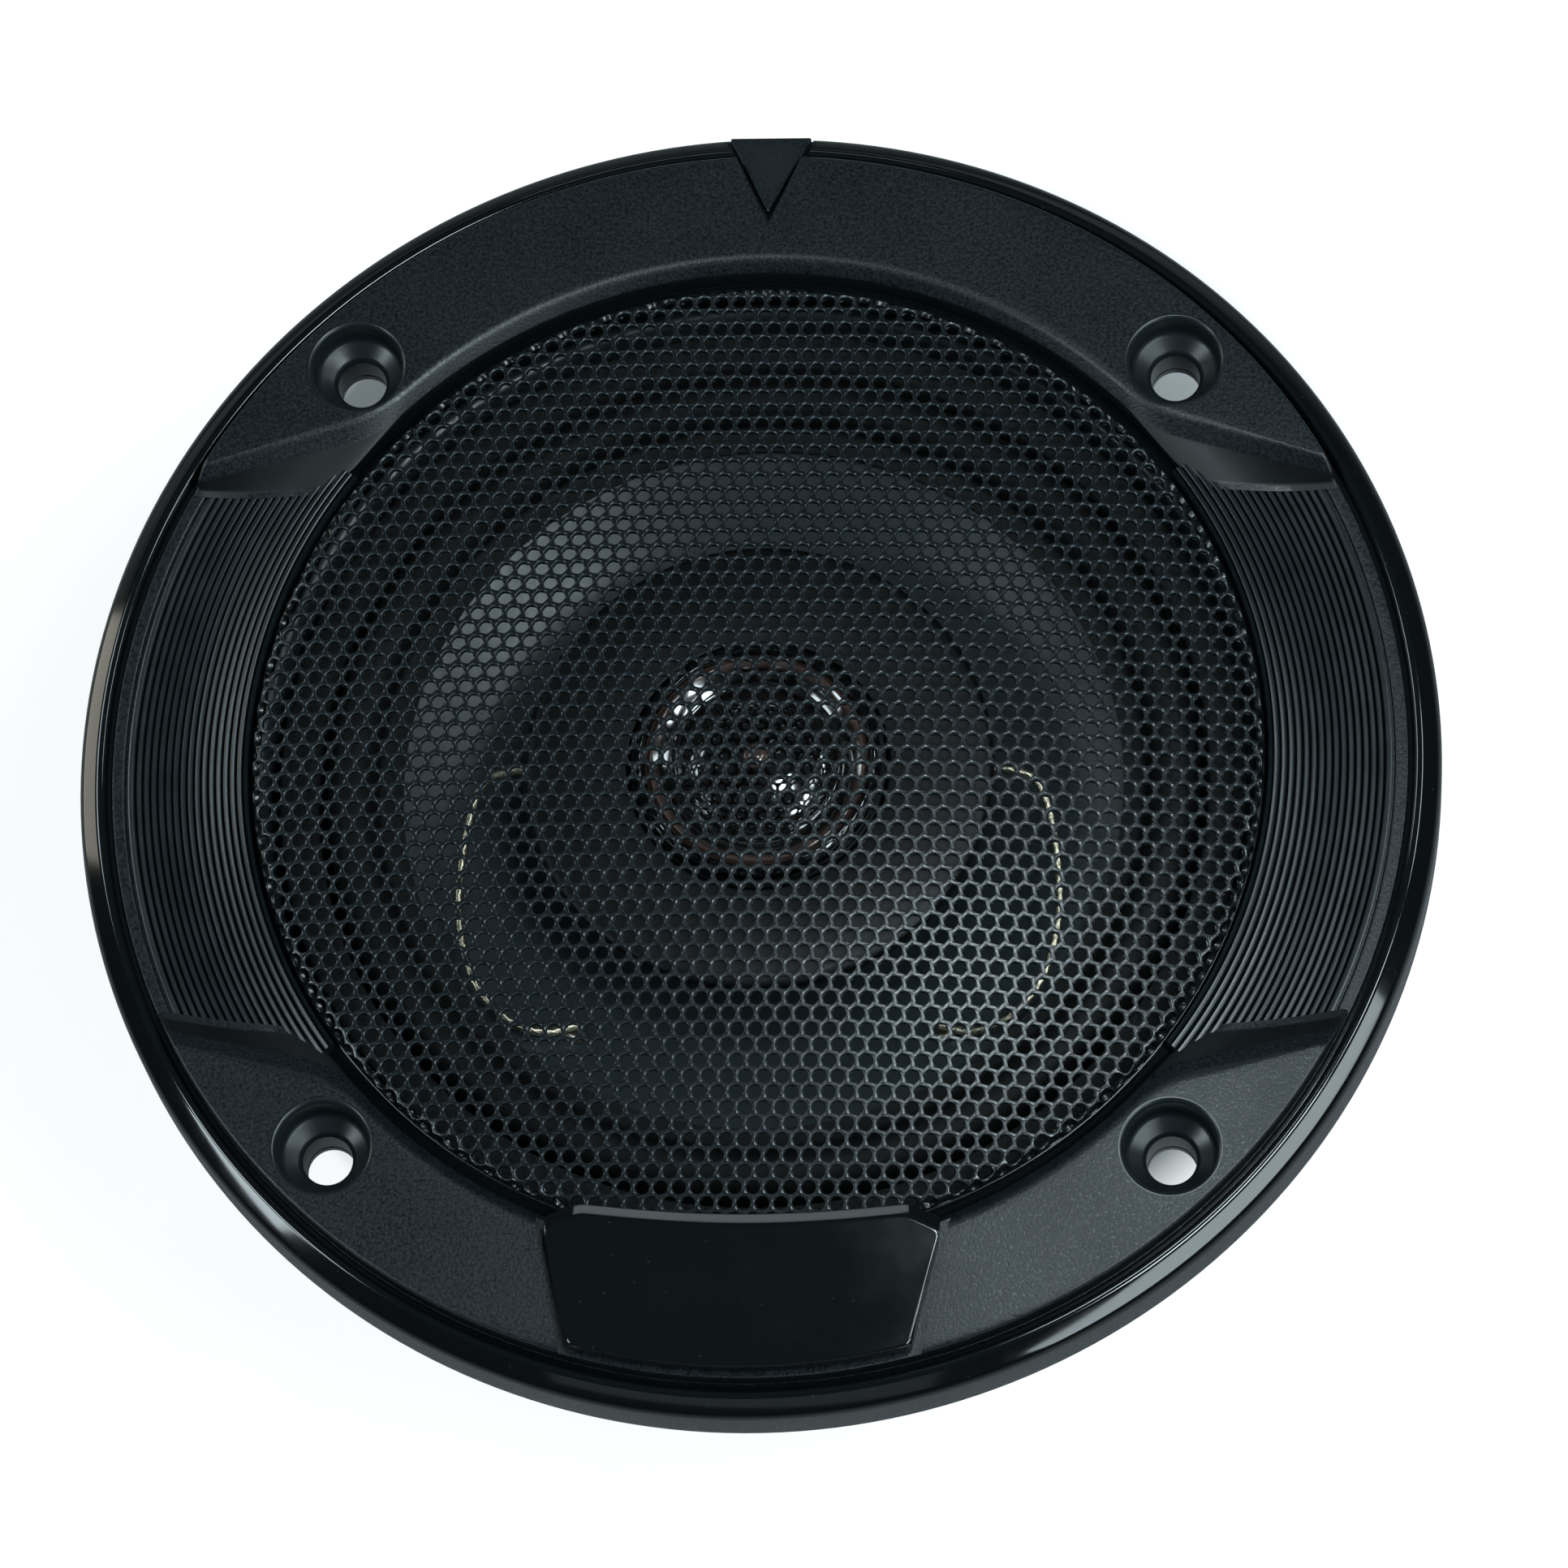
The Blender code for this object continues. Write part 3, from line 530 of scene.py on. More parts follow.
def zinc_plated_steel():
    """Turned or pressed steel, zinc plated: cool silver with fine tool rings and a faint yellow bloom."""
    mat, tree, shader, place = blank("Zinc-plated steel")
    # Tool rings are about 0.1 mm apart: drawn at 0.5 mm so that they show
    ringed = {"Vector": place, "Scale": per(0.5) / TAU, "Distortion": 0.4, "Detail": 2.0}
    rings = add(tree, "TexWave", ringed, wave_type="RINGS", rings_direction="Z", out="Fac")
    bloom = add(tree, "TexNoise", {"Vector": place, "Scale": per(9), "Detail": 4.0})
    tone = add(tree, "Mix", {0: bloom, 6: srgb("#9aa0a6"), 7: srgb("#b3ae9c")}, data_type="RGBA", out=2)
    brushed = add(tree, "MapRange", {"Value": rings, 1: 0.0, 2: 1.0, 3: 0.27, 4: 0.4})
    marks = add(tree, "Bump", {"Height": rings, "Strength": 0.12, "Distance": 0.02 * MM})
    plug(tree, shader, {"Base Color": tone, "Roughness": brushed, "Normal": marks, "Metallic": 1.0})
    return mat


def sintered_ferrite():
    """Pressed and sintered strontium ferrite: a dull graphite grey ceramic, speckled, with small pits."""
    mat, tree, shader, place = blank("Sintered ferrite")
    fine = add(tree, "TexNoise", {"Vector": place, "Scale": per(0.6), "Detail": 4.0})
    pits = add(tree, "TexVoronoi", {"Vector": place, "Scale": per(3)})
    deep = add(tree, "MapRange", {"Value": pits, 1: 0.04, 2: 0.16, 3: 0.0, 4: 1.0})
    rough = add(tree, "Math", {0: deep, 1: fine}, operation="MULTIPLY")
    tone = add(tree, "Mix", {0: fine, 6: srgb("#1d1e20"), 7: srgb("#37383a")}, data_type="RGBA", out=2)
    skin = add(tree, "Bump", {"Height": rough, "Strength": 0.5, "Distance": 0.1 * MM})
    plug(tree, shader, {"Base Color": tone, "Roughness": 0.62, "Normal": skin, "IOR": 1.8})
    return mat


def stoved_enamel():
    """Pressed sheet steel under stoved grey-black enamel: half gloss, with orange peel and paler clouds."""
    mat, tree, shader, place = blank("Stoved enamel on steel")
    peel = add(tree, "TexNoise", {"Vector": place, "Scale": per(1.3), "Detail": 2.0})
    cloud = add(tree, "TexNoise", {"Vector": place, "Scale": per(18), "Detail": 3.0})
    tone = add(tree, "Mix", {0: cloud, 6: srgb("#22272a"), 7: srgb("#333a3e")}, data_type="RGBA", out=2)
    gloss = add(tree, "MapRange", {"Value": peel, 1: 0.3, 2: 0.7, 3: 0.26, 4: 0.38})
    skin = add(tree, "Bump", {"Height": peel, "Strength": 0.25, "Distance": 0.05 * MM})
    plug(tree, shader, {"Base Color": tone, "Roughness": gloss, "Normal": skin})
    plug(tree, shader, {"IOR": 1.5, "Coat Weight": 0.2})
    return mat


def bright_nickel():
    """Bright nickel on a pressed magnet: warm mirror-like silver with faint tumbling scuffs."""
    mat, tree, shader, place = blank("Bright nickel")
    scuff = add(tree, "TexNoise", {"Vector": place, "Scale": per(1.5), "Detail": 6.0, "Roughness": 0.7})
    mottle(tree, shader, scuff, ("#b3aca0", "#cbc5ba"), (0.14, 0.3), Metallic=1.0)
    return mat


def shrink_sleeve():
    """Shrunk PET sleeve on a small capacitor: dark blue, glossy, drawn into slight waves."""
    mat, tree, shader, place = blank("Shrunk PET sleeve")
    pull = add(tree, "TexNoise", {"Vector": place, "Scale": per(2.5), "Detail": 2.0})
    wave = add(tree, "Bump", {"Height": pull, "Strength": 0.3, "Distance": 0.15 * MM})
    mottle(tree, shader, pull, ("#101a30", "#1b2a48"), (0.16, 0.26), Normal=wave, IOR=1.57)
    return mat


def tinned_brass():
    """Stamped brass under a thin coat of tin: pale, soft silver that yellows where it has rubbed through."""
    mat, tree, shader, place = blank("Tinned brass")
    rub = add(tree, "TexNoise", {"Vector": place, "Scale": per(1.8), "Detail": 5.0, "Roughness": 0.7})
    worn = add(tree, "MapRange", {"Value": rub, 1: 0.5, 2: 0.7, 3: 0.0, 4: 1.0})
    tone = add(tree, "Mix", {0: worn, 6: srgb("#c2bfb6"), 7: srgb("#bfa05c")}, data_type="RGBA", out=2)
    satin = add(tree, "MapRange", {"Value": rub, 1: 0.3, 2: 0.7, 3: 0.24, 4: 0.4})
    plug(tree, shader, {"Base Color": tone, "Roughness": satin, "Metallic": 1.0})
    return mat


def phenolic_paper():
    """Pressed phenolic paper board: red-brown and satin, streaked by the fibres of the paper."""
    mat, tree, shader, place = blank("Phenolic paper board")
    fibre = add(tree, "TexNoise", {"Vector": place, "Scale": per(0.8), "Detail": 5.0, "Distortion": 2.0})
    skin = add(tree, "Bump", {"Height": fibre, "Strength": 0.2, "Distance": 0.03 * MM})
    mottle(tree, shader, fibre, ("#5c3519", "#8a5a30"), (0.42, 0.58), Normal=skin, IOR=1.6)
    return mat


def enamelled_copper():
    """A coil of enamelled copper wire: red-gold under clear enamel, ridged turn by turn."""
    mat, tree, shader, place = blank("Enamelled copper wire")
    # The wire is 0.2 mm thick: drawn at 0.4 mm so that the turns show
    wound = {"Vector": place, "Scale": per(0.4) / TAU * 0.5, "Distortion": 0.1}
    turns = add(tree, "TexWave", wound, bands_direction="Z", out="Fac")
    tone = add(tree, "Mix", {0: turns, 6: srgb("#6a3115"), 7: srgb("#c4763f")}, data_type="RGBA", out=2)
    ridge = add(tree, "Bump", {"Height": turns, "Strength": 0.8, "Distance": 0.1 * MM})
    plug(tree, shader, {"Base Color": tone, "Roughness": 0.3, "Normal": ridge, "Metallic": 1.0})
    return mat


def tinsel_braid():
    """Braided tinsel wire: tinned copper foil on thread, pale gold-silver, glittering strand by strand."""
    mat, tree, shader, place = blank("Braided tinsel wire")
    foil = add(tree, "TexNoise", {"Vector": place, "Scale": per(0.35), "Detail": 3.0})
    strand = add(tree, "Bump", {"Height": foil, "Strength": 0.4, "Distance": 0.05 * MM})
    mottle(tree, shader, foil, ("#a89a7c", "#e2dcc8"), (0.22, 0.42), Normal=strand, Metallic=1.0)
    return mat


def polyimide_film():
    """Rolled polyimide film: a half-gloss orange-brown tube, faintly clouded."""
    mat, tree, shader, place = blank("Polyimide film")
    cloud = add(tree, "TexNoise", {"Vector": place, "Scale": per(3), "Detail": 3.0})
    mottle(tree, shader, cloud, ("#7a4410", "#b06c1e"), (0.24, 0.36), IOR=1.7)
    return mat


# Each of the record's slots and the finish that it takes here
FINISHES = {
    "plated_steel": zinc_plated_steel(),
    "ferrite": sintered_ferrite(),
    "painted_steel": stoved_enamel(),
    "former_film": polyimide_film(),
    "copper": enamelled_copper(),
    "cone_paper": pressed_pulp(),
    "surround_rubber": butyl_rubber(),
    "spider_cloth": dipped_cotton(),
    "gasket_foam": closed_cell_foam(),
    "black_plastic": moulded_polypropylene(),
    "nickel": bright_nickel(),
    "amber_film": polyetherimide_film(),
    "capacitor_sleeve": shrink_sleeve(),
    "brass": tinned_brass(),
    "tinsel": tinsel_braid(),
    "phenolic": phenolic_paper(),
    "frame_plastic": spark_eroded_abs(),
    "gloss_plastic": polished_abs(),
    "mesh_steel": powder_coated_steel(),
}
# Ribs and wells, from a stoned tool: satin black with a soft running sheen
SATIN = fine_abs("Satin ABS", ("#0b1012", "#151c1f"), (0.27, 0.34), 1.5)
# End facets of the panels, from a bead-blasted tool: spreads each lamp thin, and is painted a deeper black
# than the panels as the facets' shade
BLASTED_SHADED_ABS = fine_abs("Blasted ABS with painted shade", ("#030506", "#090d0f"), (0.46, 0.54), 1.38)
# The rolled edges of the holes take this lighter coat: a painted highlight on each rim
RIM_HIGHLIGHT_COAT = rim_highlight_powder_coat()


# Pieces
def shade(mesh, sharp):
    """Smooth shading, apart from edges that turn by more than sharp degrees."""
    mesh.shade_smooth()
    mesh.set_sharp_from_angle(angle=math.radians(sharp))


def solid(name, shape, materials=(), zones=None, sharp=32):
    """A closed mesh object in metres, with its faces pointing out."""
    mesh = bpy.data.meshes.new(name)
    mesh.from_pydata((np.asarray(shape[0], float) * MM).tolist(), [], shape[1])
    for mat in materials:
        mesh.materials.append(mat)
    if zones is not None:
        mesh.polygons.foreach_set("material_index", zones)
    bm = bmesh.new()
    bm.from_mesh(mesh)
    bmesh.ops.remove_doubles(bm, verts=bm.verts, dist=0.0005 * MM)
    bmesh.ops.recalc_face_normals(bm, faces=bm.faces)
    bm.to_mesh(mesh)
    bm.free()
    shade(mesh, sharp)
    obj = bpy.data.objects.new(name, mesh)
    bpy.context.scene.collection.objects.link(obj)
    return obj


def piece(node, shape, slot, name=None, more=(), zones=None, sharp=32, riding=True, finish=None):
    """A piece that stands for a node and rides its body.

    It has the finish of its slot unless another is given, and more finishes for its zones.
    """
    made = solid(name or f"{node}_finished", shape, (finish or FINISHES[slot], *more), zones, sharp)
    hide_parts(node)
    if riding:
        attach(made, frame["nodes"][node]["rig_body"])
    return made


def turned(node, profile, slot, segments, **looks):
    """A piece turned about the axis from a profile with eased corners."""
    return piece(node, lathe(softened(profile), segments), slot, **looks)


def carve(made, shape, sharp=32):
    """Cuts closed shapes out of a piece."""
    tool = solid("cutter", shape)
    step = made.modifiers.new("cut", "BOOLEAN")
    step.object = tool
    step.solver = "EXACT"
    whole = made.data
    ready = made.evaluated_get(bpy.context.evaluated_depsgraph_get())
    made.data = bpy.data.meshes.new_from_object(ready)
    made.modifiers.clear()
    spare = tool.data
    bpy.data.objects.remove(tool)
    bpy.data.meshes.remove(spare)
    bpy.data.meshes.remove(whole)
    made.data.name = made.name
    shade(made.data, sharp)
    return made


def even(made):
    """Keeps large flat faces flat beside small rounded ones."""
    made.modifiers.new("even shading", "WEIGHTED_NORMAL").keep_sharp = True


# Grille
def rib_height(radius):
    """The side zones are a scoop that dips from the rim and then climbs to the mesh."""
    t = (SCOOP_R[1] - radius) / (SCOOP_R[1] - SCOOP_R[0])
    return SCOOP_RIM - SCOOP_DIP * t + SCOOP_CLIMB * t * t


def columns(circle_r, radius, low, high, segments):
    """Four upright cylinders on a circle about the axis, at the angles of the screws."""
    post = [(0, low), (radius, low), (radius, high), (0, high)]
    return joined(*(lathe(post, segments, polar(circle_r, angle)[:2]) for angle in SCREWS.values()))


def box(first, second, eases):
    """A profile with four corners, each eased by its own radius."""
    corners = ((0, 0), (1, 0), (1, 1), (0, 1))
    return [(first[i], second[j], ease) for (i, j), ease in zip(corners, eases)]


def notch(grow):
    """Outline of the notch field, point towards the mesh, grown sideways."""
    half = NOTCH_HALF + 1.15 * grow
    edge = NOTCH_EDGE + grow
    return [(0, NOTCH_TIP - 2.4 * grow), (half, edge), (-half, edge)]


NOTCH_GROOVE = prism(notch(0.8), (64.9, RIM_GROOVE, RIM_GROOVE), CUT_HIGH)


def rim():
    """The turned edge all round: a grained band, a groove, and a polished bevelled bead."""
    band = [(RIM_IN_R, RIM_GROOVE), (83.75, RIM_GROOVE), (83.95, RIM_BAND, 0.2), (85.5, RIM_BAND, 0.2)]
    bead = [(85.72, RIM_GROOVE), (86.15, RIM_GROOVE), (86.4, 63.1, 0.4), (86.75, RIM_CREST, 0.4)]
    bead += [(87.4, RIM_CREST, 0.4), (89.55, RIM_GROOVE, 0.5), (RIM_R, 61.2, 0.4)]
    skirt = [(RIM_R, RIM_FOOT + 0.3, 0.3), (89.6, RIM_FOOT, 0.2), (88.1, RIM_FOOT, 0.3), (87.8, 60.2, 0.4)]
    under = [(86.0, RIM_UNDER), (RIM_IN_R, RIM_UNDER)]
    profile = softened(band + bead + skirt + under)
    radius, height = np.array(profile).T
    polished = (radius > 85.6) & (height > 61.0)
    zones = np.tile(polished.astype(int), RIM_STEPS)
    gloss = (FINISHES["gloss_plastic"],)
    shape = lathe(profile, RIM_STEPS)
    made = piece("grille_frame", shape, "frame_plastic", "grille_rim", gloss, zones, sharp=40)
    past_rim = 93
    flat = [(-NOTCH_HALF, NOTCH_EDGE), (NOTCH_HALF, NOTCH_EDGE)]
    flat += [(NOTCH_HALF, past_rim), (-NOTCH_HALF, past_rim)]
    carve(carve(made, NOTCH_GROOVE, 40), prism(flat, CUT_LOW, CUT_HIGH), 40)


def scoops():
    """Concentric ribs in the two side zones, slightly crowned, with narrow V-shaped grooves between them."""
    first, last = RIB_R
    pitch = (last - first) / RIB_COUNT
    # Share of the pitch and of the depth: down and up the groove, then over the crown
    rib = ((0.03, 0.4), (0.18, 1.0), (0.33, 0.4), (0.37, 0.12))
    rib += ((0.46, 0.02), (0.68, 0.0), (0.9, 0.02), (0.99, 0.12))
    top = [(67.3, 61.5), (67.3, 63.9), (67.5, rib_height(SCOOP_R[0]))]
    for i in range(RIB_COUNT):
        for share, depth in rib:
            radius = first + pitch * (i + share)
            top.append((radius, rib_height(radius) - RIB_DEPTH * depth))
    under = [(83.5, 62.1), (83.5, 60.3), (77.0, 59.6), (72.2, 60.2), (70.6, 61.5)]
    for side, arc in (("right", (-36.5, 36)), ("left", (144, 216.5))):
        shape = lathe(top + under, 72, arc=arc)
        piece("grille_frame", shape, "frame_plastic", f"ribbed_scoop_{side}", finish=SATIN)


def end_line(line, shift, radius):
    """Where a panel's end line, moved sideways, meets a circle about the axis."""
    a, b = (np.array(p) for p in line)
    along = (b - a) / np.linalg.norm(b - a)
    a = a + np.array([-along[1], along[0]]) * shift
    reach = a.dot(along)
    return a + along * (math.sqrt(reach**2 - a.dot(a) + radius**2) - reach), along


def panel_loop(line, inner, outer, heights, shift=0.0):
    """One loop round a panel.

    Heights are those of its mesh side, of its end as a function of the radius, and of its rim side.
    """
    knee, along = end_line(line, shift, inner)
    tip, _ = end_line(line, shift, outer)
    by_mesh, at_end, by_rim = heights

    def arc(first, last, radius, count, z):
        """Level points round the axis."""
        turns = np.linspace(first, last, count)
        return [(radius * math.cos(t), radius * math.sin(t), z) for t in turns]

    def corner(start, middle, end, count, first, last):
        """Points round a corner, between two heights."""
        shares = np.linspace(0, 1, count + 2)[1:-1]
        spots = [start * (1 - t) ** 2 + 2 * middle * t * (1 - t) + end * t**2 for t in shares]
        return [(*spot, first + (last - first) * t) for spot, t in zip(spots, shares)]

    knee_turn = math.atan2(knee[1], knee[0]) + KNEE / inner
    tip_turn = math.atan2(tip[1], tip[0]) + TIP / outer
    half = arc(math.pi / 2, knee_turn, inner, 36, by_mesh)
    begin, stop = knee + along * KNEE, tip - along * TIP
    run = [begin + (stop - begin) * t for t in np.linspace(0, 1, 14)]
    ends = [at_end(np.linalg.norm(spot)) for spot in (begin, stop)]
    half += corner(np.array(half[-1][:2]), knee, begin, 9, by_mesh, ends[0])
    half += [(*spot, at_end(np.linalg.norm(spot))) for spot in run]
    back = arc(tip_turn, math.pi / 2, outer, 44, by_rim)
    half += corner(stop, tip, np.array(back[0][:2]), 6, ends[1], by_rim) + back
    half = np.array(half)
    return np.vstack([half, half[-2:0:-1] * (-1, 1, 1)])


def softened_loops(loops, radii, steps=3):
    """Rounds the edge that each loop makes between its neighbours."""
    smooth = []
    for i, (loop, radius) in enumerate(zip(loops, radii)):
        if not radius:
            smooth.append(loop)
            continue
        sides = []
        for other in (loops[i - 1], loops[i + 1]):
            gap = np.linalg.norm(other - loop, axis=1, keepdims=True)
            sides.append((other - loop) * np.minimum(radius / np.maximum(gap, 1e-6), 0.45))
        smooth += [loop + sides[0] * (1 - t) ** 2 + sides[1] * t**2 for t in np.linspace(0, 1, steps + 1)]
    return smooth


def level(height):
    """The heights of a panel loop that lies flat."""
    return height, lambda radius: height, height


def panels():
    """Two raised, chamfered panels. Each end falls over a dull facet to a strip where the ribs stop."""
    inner, outer, margin = PANEL_IN_R, PANEL_OUT_R, PANEL_MARGIN
    wall = inner - PANEL_WALL
    for side, name, (edge, chamfer, facet, strip) in ((1, "top", UPPER_END), (-1, "bottom", LOWER_END)):
        loops = [
            panel_loop(edge, inner + margin, outer - margin, level(PANEL_TOP), margin),
            panel_loop(edge, inner, outer, level(PANEL_TOP)),
            panel_loop(chamfer, wall + 0.1, outer, level(CHAMFER_FOOT)),
            panel_loop(facet, wall, outer, (63.4, lambda radius: rib_height(radius) + 0.25, 63.4)),
            panel_loop(strip, wall, outer, (62.4, lambda radius: rib_height(radius) + 0.05, 62.5)),
            panel_loop(strip, wall, outer - 2.0, level(PANEL_FOOT)),
        ]
        loops = softened_loops(loops, (0, 0.8, 0.35, 0.25, 0, 0))
        shape = loft([loop * (1, side, 1) for loop in loops])
        made = piece("grille_frame", shape, "frame_plastic", f"raised_panel_{name}", (BLASTED_SHADED_ABS,), sharp=40)
        # Steep faces below the chamfer take the darker facet finish: painted shade on the panel ends
        for face in made.data.polygons:
            steep = face.normal.z < 0.97
            face.material_index = int(steep and face.center.z < CHAMFER_FOOT * MM)
        seat = NOTCH_GROOVE if side > 0 else prism(badge_outline(1.2), BADGE_SEAT, CUT_HIGH)
        holes = columns(PATTERN_R, WELL_LIP_R, CUT_LOW, CUT_HIGH, 48)
        even(carve(made, joined(holes, seat), 40))


def wells():
    """A satin well for each mounting screw, with a rounded lip, a dished seat and an eased hole."""
    lip, seat, hole = PANEL_TOP - 0.03, WELL_FLOOR, SCREW_HOLE_R
    outer = WELL_LIP_R + 0.05
    profile = [(outer, 65.6), (WELL_LIP_R - 0.03, lip), (WELL_R + 0.45, lip, 0.2), (WELL_R, lip - 0.5, 0.4)]
    profile += [(WELL_R, seat + 1.3, 0.8), (hole + 0.45, seat - 0.1, 0.2), (hole, seat - 0.7, 0.25)]
    profile += [(hole, BOSS_FOOT, 0.25), (BOSS_R, BOSS_FOOT, 0.4), (BOSS_R, 62.5), (outer, 62.7)]
    for corner, angle in SCREWS.items():
        shape = lathe(softened(profile), 64, polar(PATTERN_R, angle)[:2])
        piece(f"screw_boss_{corner}", shape, "frame_plastic", f"screw_well_{corner}", finish=SATIN)


def notch_field():
    """The wedge in the notch, which slopes from the panel down to the rim between its two grooves."""
    loops = []
    for grow, drop in ((0.0, 2.2), (0.0, 0.16), (-0.06, 0.05), (-0.18, 0.0)):
        flat = np.array(softened([(x, y, 0.5) for x, y in notch(grow)], 5))
        run = (flat[:, 1] - NOTCH_TIP) / (NOTCH_EDGE - NOTCH_TIP)
        loops.append(np.column_stack([flat, NOTCH_TOP - run * NOTCH_FALL - drop]))
    piece("grille_frame", loft(loops), "frame_plastic", "notch_field")


def badge_outline(grow, head_bevel=0.0):
    """Outline of the badge: its foot follows the rim, and its head is slightly hollow."""
    top, high = BADGE_HEAD_HALF + grow, BADGE_HEAD_Y + grow - head_bevel
    head = [(top, high - 2.0, 0.8), (top - 4.2, high, 1.2), (10.4, high - 1.1, 8.0), (0, high - 1.5, 8.0)]
    head += [(-x, y, ease) for x, y, ease in head[2::-1]]
    foot = BADGE_FOOT_R + grow
    half = math.degrees(math.asin((BADGE_FOOT_HALF + grow) / foot))
    arc = [tuple(polar(foot, 270 - half + half * i / 12)[:2]) for i in range(25)]
    arc[0], arc[-1] = (*arc[0], 0.9), (*arc[-1], 0.9)
    return softened(head + arc, 5)


def badge():
    """A bare polished plate on its seat, with a wide light-catching bevel along its hollow head."""
    # Growth of the outline, bevel at the head and height of each loop
    steps = ((0, 0, 65.8), (0, 0, 67.15), (-0.05, 0.1, 67.27))
    steps += ((-0.12, 1.3, 67.7), (-0.22, 1.5, 67.78), (-0.4, 1.7, 67.8))
    loops = []
    for grow, bevel, z in steps:
        flat = np.array(badge_outline(grow, bevel))
        loops.append(np.column_stack([flat, np.full(len(flat), z)]))
    even(piece("badge_plate", loft(loops), "gloss_plastic", sharp=40))


def pan_profile(run):
    """(radius, height, outward, upward) of the pan's outer skin at a distance along it from the middle."""
    lean = math.atan(2 * FACE_RISE / FACE_R)
    edge = FACE_R * (1 + (2 * FACE_RISE / FACE_R) ** 2 / 6)
    turn = np.clip((run - edge) / SHOULDER_R, 0, math.pi / 2 - lean) + lean
    past = np.maximum(run - edge - SHOULDER_R * (math.pi / 2 - lean), 0)
    inside = run < edge
    flat = np.minimum(run / edge, 1) * FACE_R
    slope = np.where(inside, np.arctan(2 * FACE_RISE * flat / FACE_R**2), turn)
    radius = flat + SHOULDER_R * np.where(inside, 0, np.sin(slope) - math.sin(lean))
    height = FACE_EDGE + FACE_RISE * (1 - (flat / FACE_R) ** 2)
    height = height - SHOULDER_R * np.where(inside, 0, math.cos(lean) - np.cos(slope)) - past
    return radius, height, np.sin(slope), np.cos(slope)


def perforated(low, high):
    """Six-sided tiles with a round hole each, laid over the pan between two distances from its middle."""
    rows = np.arange(-40, 41)
    across, up = np.meshgrid(rows, rows)
    x, y = (across + 0.5 * (up % 2)) * HOLE_PITCH, up * HOLE_PITCH * math.sqrt(3) / 2
    centres = np.stack([x, y], -1).reshape(-1, 2)
    away = np.linalg.norm(centres, axis=1)
    centres = centres[(away >= low) & (away < high)]
    hexagon = np.radians(30 + 60 * np.arange(6))
    corners = np.stack([np.cos(hexagon), np.sin(hexagon)], -1) * HOLE_PITCH / math.sqrt(3)
    circle = np.linspace(0, TAU, HOLE_SIDES, endpoint=False) + math.pi / HOLE_SIDES
    ring = np.stack([np.cos(circle), np.sin(circle)], -1)
    # Plan and depth of each ring of a tile: top web, rolled edge, wall of the hole, under side
    lip, roll, wall = (ring * (HOLE_R + more) for more in (0.19, 0.07, 0.0))
    rings = ((corners, 0.0), (lip, 0.0), (roll, 0.08), (wall, 0.26), (wall, SHEET), (corners, SHEET))
    plan = np.vstack([spots for spots, _ in rings])
    depth = np.concatenate([np.full(len(spots), d) for spots, d in rings])
    flat = centres[:, None] + plan
    run = np.linalg.norm(flat, axis=2)
    radius, height, outward, upward = pan_profile(run)
    heading = flat / np.maximum(run, 1e-9)[..., None]
    spread = heading * (radius - outward * depth)[..., None]
    points = np.concatenate([spread, (height - upward * depth)[..., None]], -1)

    def web(hexes, holes):
        """Triangles between six corners and the ring of a hole."""
        faces = []
        share = HOLE_SIDES // 6
        for k in range(6):
            near = [(k * share + share // 2 + j) % HOLE_SIDES for j in range(share + 1)]
            faces += [(hexes + k, holes + near[j], holes + near[j + 1]) for j in range(share)]
            faces.append((hexes + k, holes + near[-1], hexes + (k + 1) % 6))
        return faces

    starts = np.cumsum([0] + [len(spots) for spots, _ in rings])
    tile = web(starts[0], starts[1])
    plain = len(tile)
    following = [(j + 1) % HOLE_SIDES for j in range(HOLE_SIDES)]
    for a, b in zip(starts[1:4], starts[2:5]):
        tile += [(a + j, a + k, b + k, b + j) for j, k in enumerate(following)]
    tile += web(starts[5], starts[4])
    # The rolled edge of each hole is zone 1, which takes the painted rim highlight
    zone = np.array([0] * plain + [1] * 2 * HOLE_SIDES + [0] * (len(tile) - plain - 2 * HOLE_SIDES))
    count = len(plan)
    faces = [tuple(t * count + i for i in face) for t in range(len(centres)) for face in tile]
    zones = np.outer(np.linalg.norm(centres, axis=1) < FACE_R, zone).ravel()
    # The tiles at the border get an edge wall between the two skins
    _, shared = np.unique(np.round(flat[:, :6].reshape(-1, 2), 3), axis=0, return_inverse=True)
    shared = shared.reshape(-1, 6)
    sides = np.sort(np.stack([shared, np.roll(shared, -1, 1)], -1), -1).reshape(-1, 2)
    _, same, times = np.unique(sides, axis=0, return_inverse=True, return_counts=True)
    for number in np.flatnonzero(times[same.ravel()] == 1):
        t, k = divmod(int(number), 6)
        top, under, beside = t * count + k, t * count + starts[5] + k, (k + 1) % 6
        faces.append((top, t * count + beside, t * count + starts[5] + beside, under))
    zones = np.concatenate([zones, np.zeros(len(faces) - len(zones), int)])
    return (points.reshape(-1, 3), faces), zones


def pan():
    """The punched steel pan: domed face, perforated shoulder and plain hem, and the ring behind it."""
    for name, low, high in (("face", 0, FACE_RUN), ("shoulder", FACE_RUN, HOLES_RUN)):
        shape, zones = perforated(low, high)
        piece("grille_mesh", shape, "mesh_steel", f"perforated_{name}", (RIM_HIGHLIGHT_COAT,), zones, sharp=60)
    hem = [(HEM_IN_R, 62.8, 0.3), (66.95, 62.8, 0.4), (66.95, 62.2, 0.3), (68.6, 60.95, 0.3)]
    hem += [(HEM_OUT_R, 60.95, 0.2), (HEM_OUT_R, 60.4, 0.2), (HEM_IN_R, 60.4, 0.8)]
    turned("grille_mesh", hem, "mesh_steel", 160, name="mesh_hem")
    turned("mesh_retainer", box((66.6, HEM_OUT_R), (58.4, 60.1), [0.3] * 4), "black_plastic", 160)


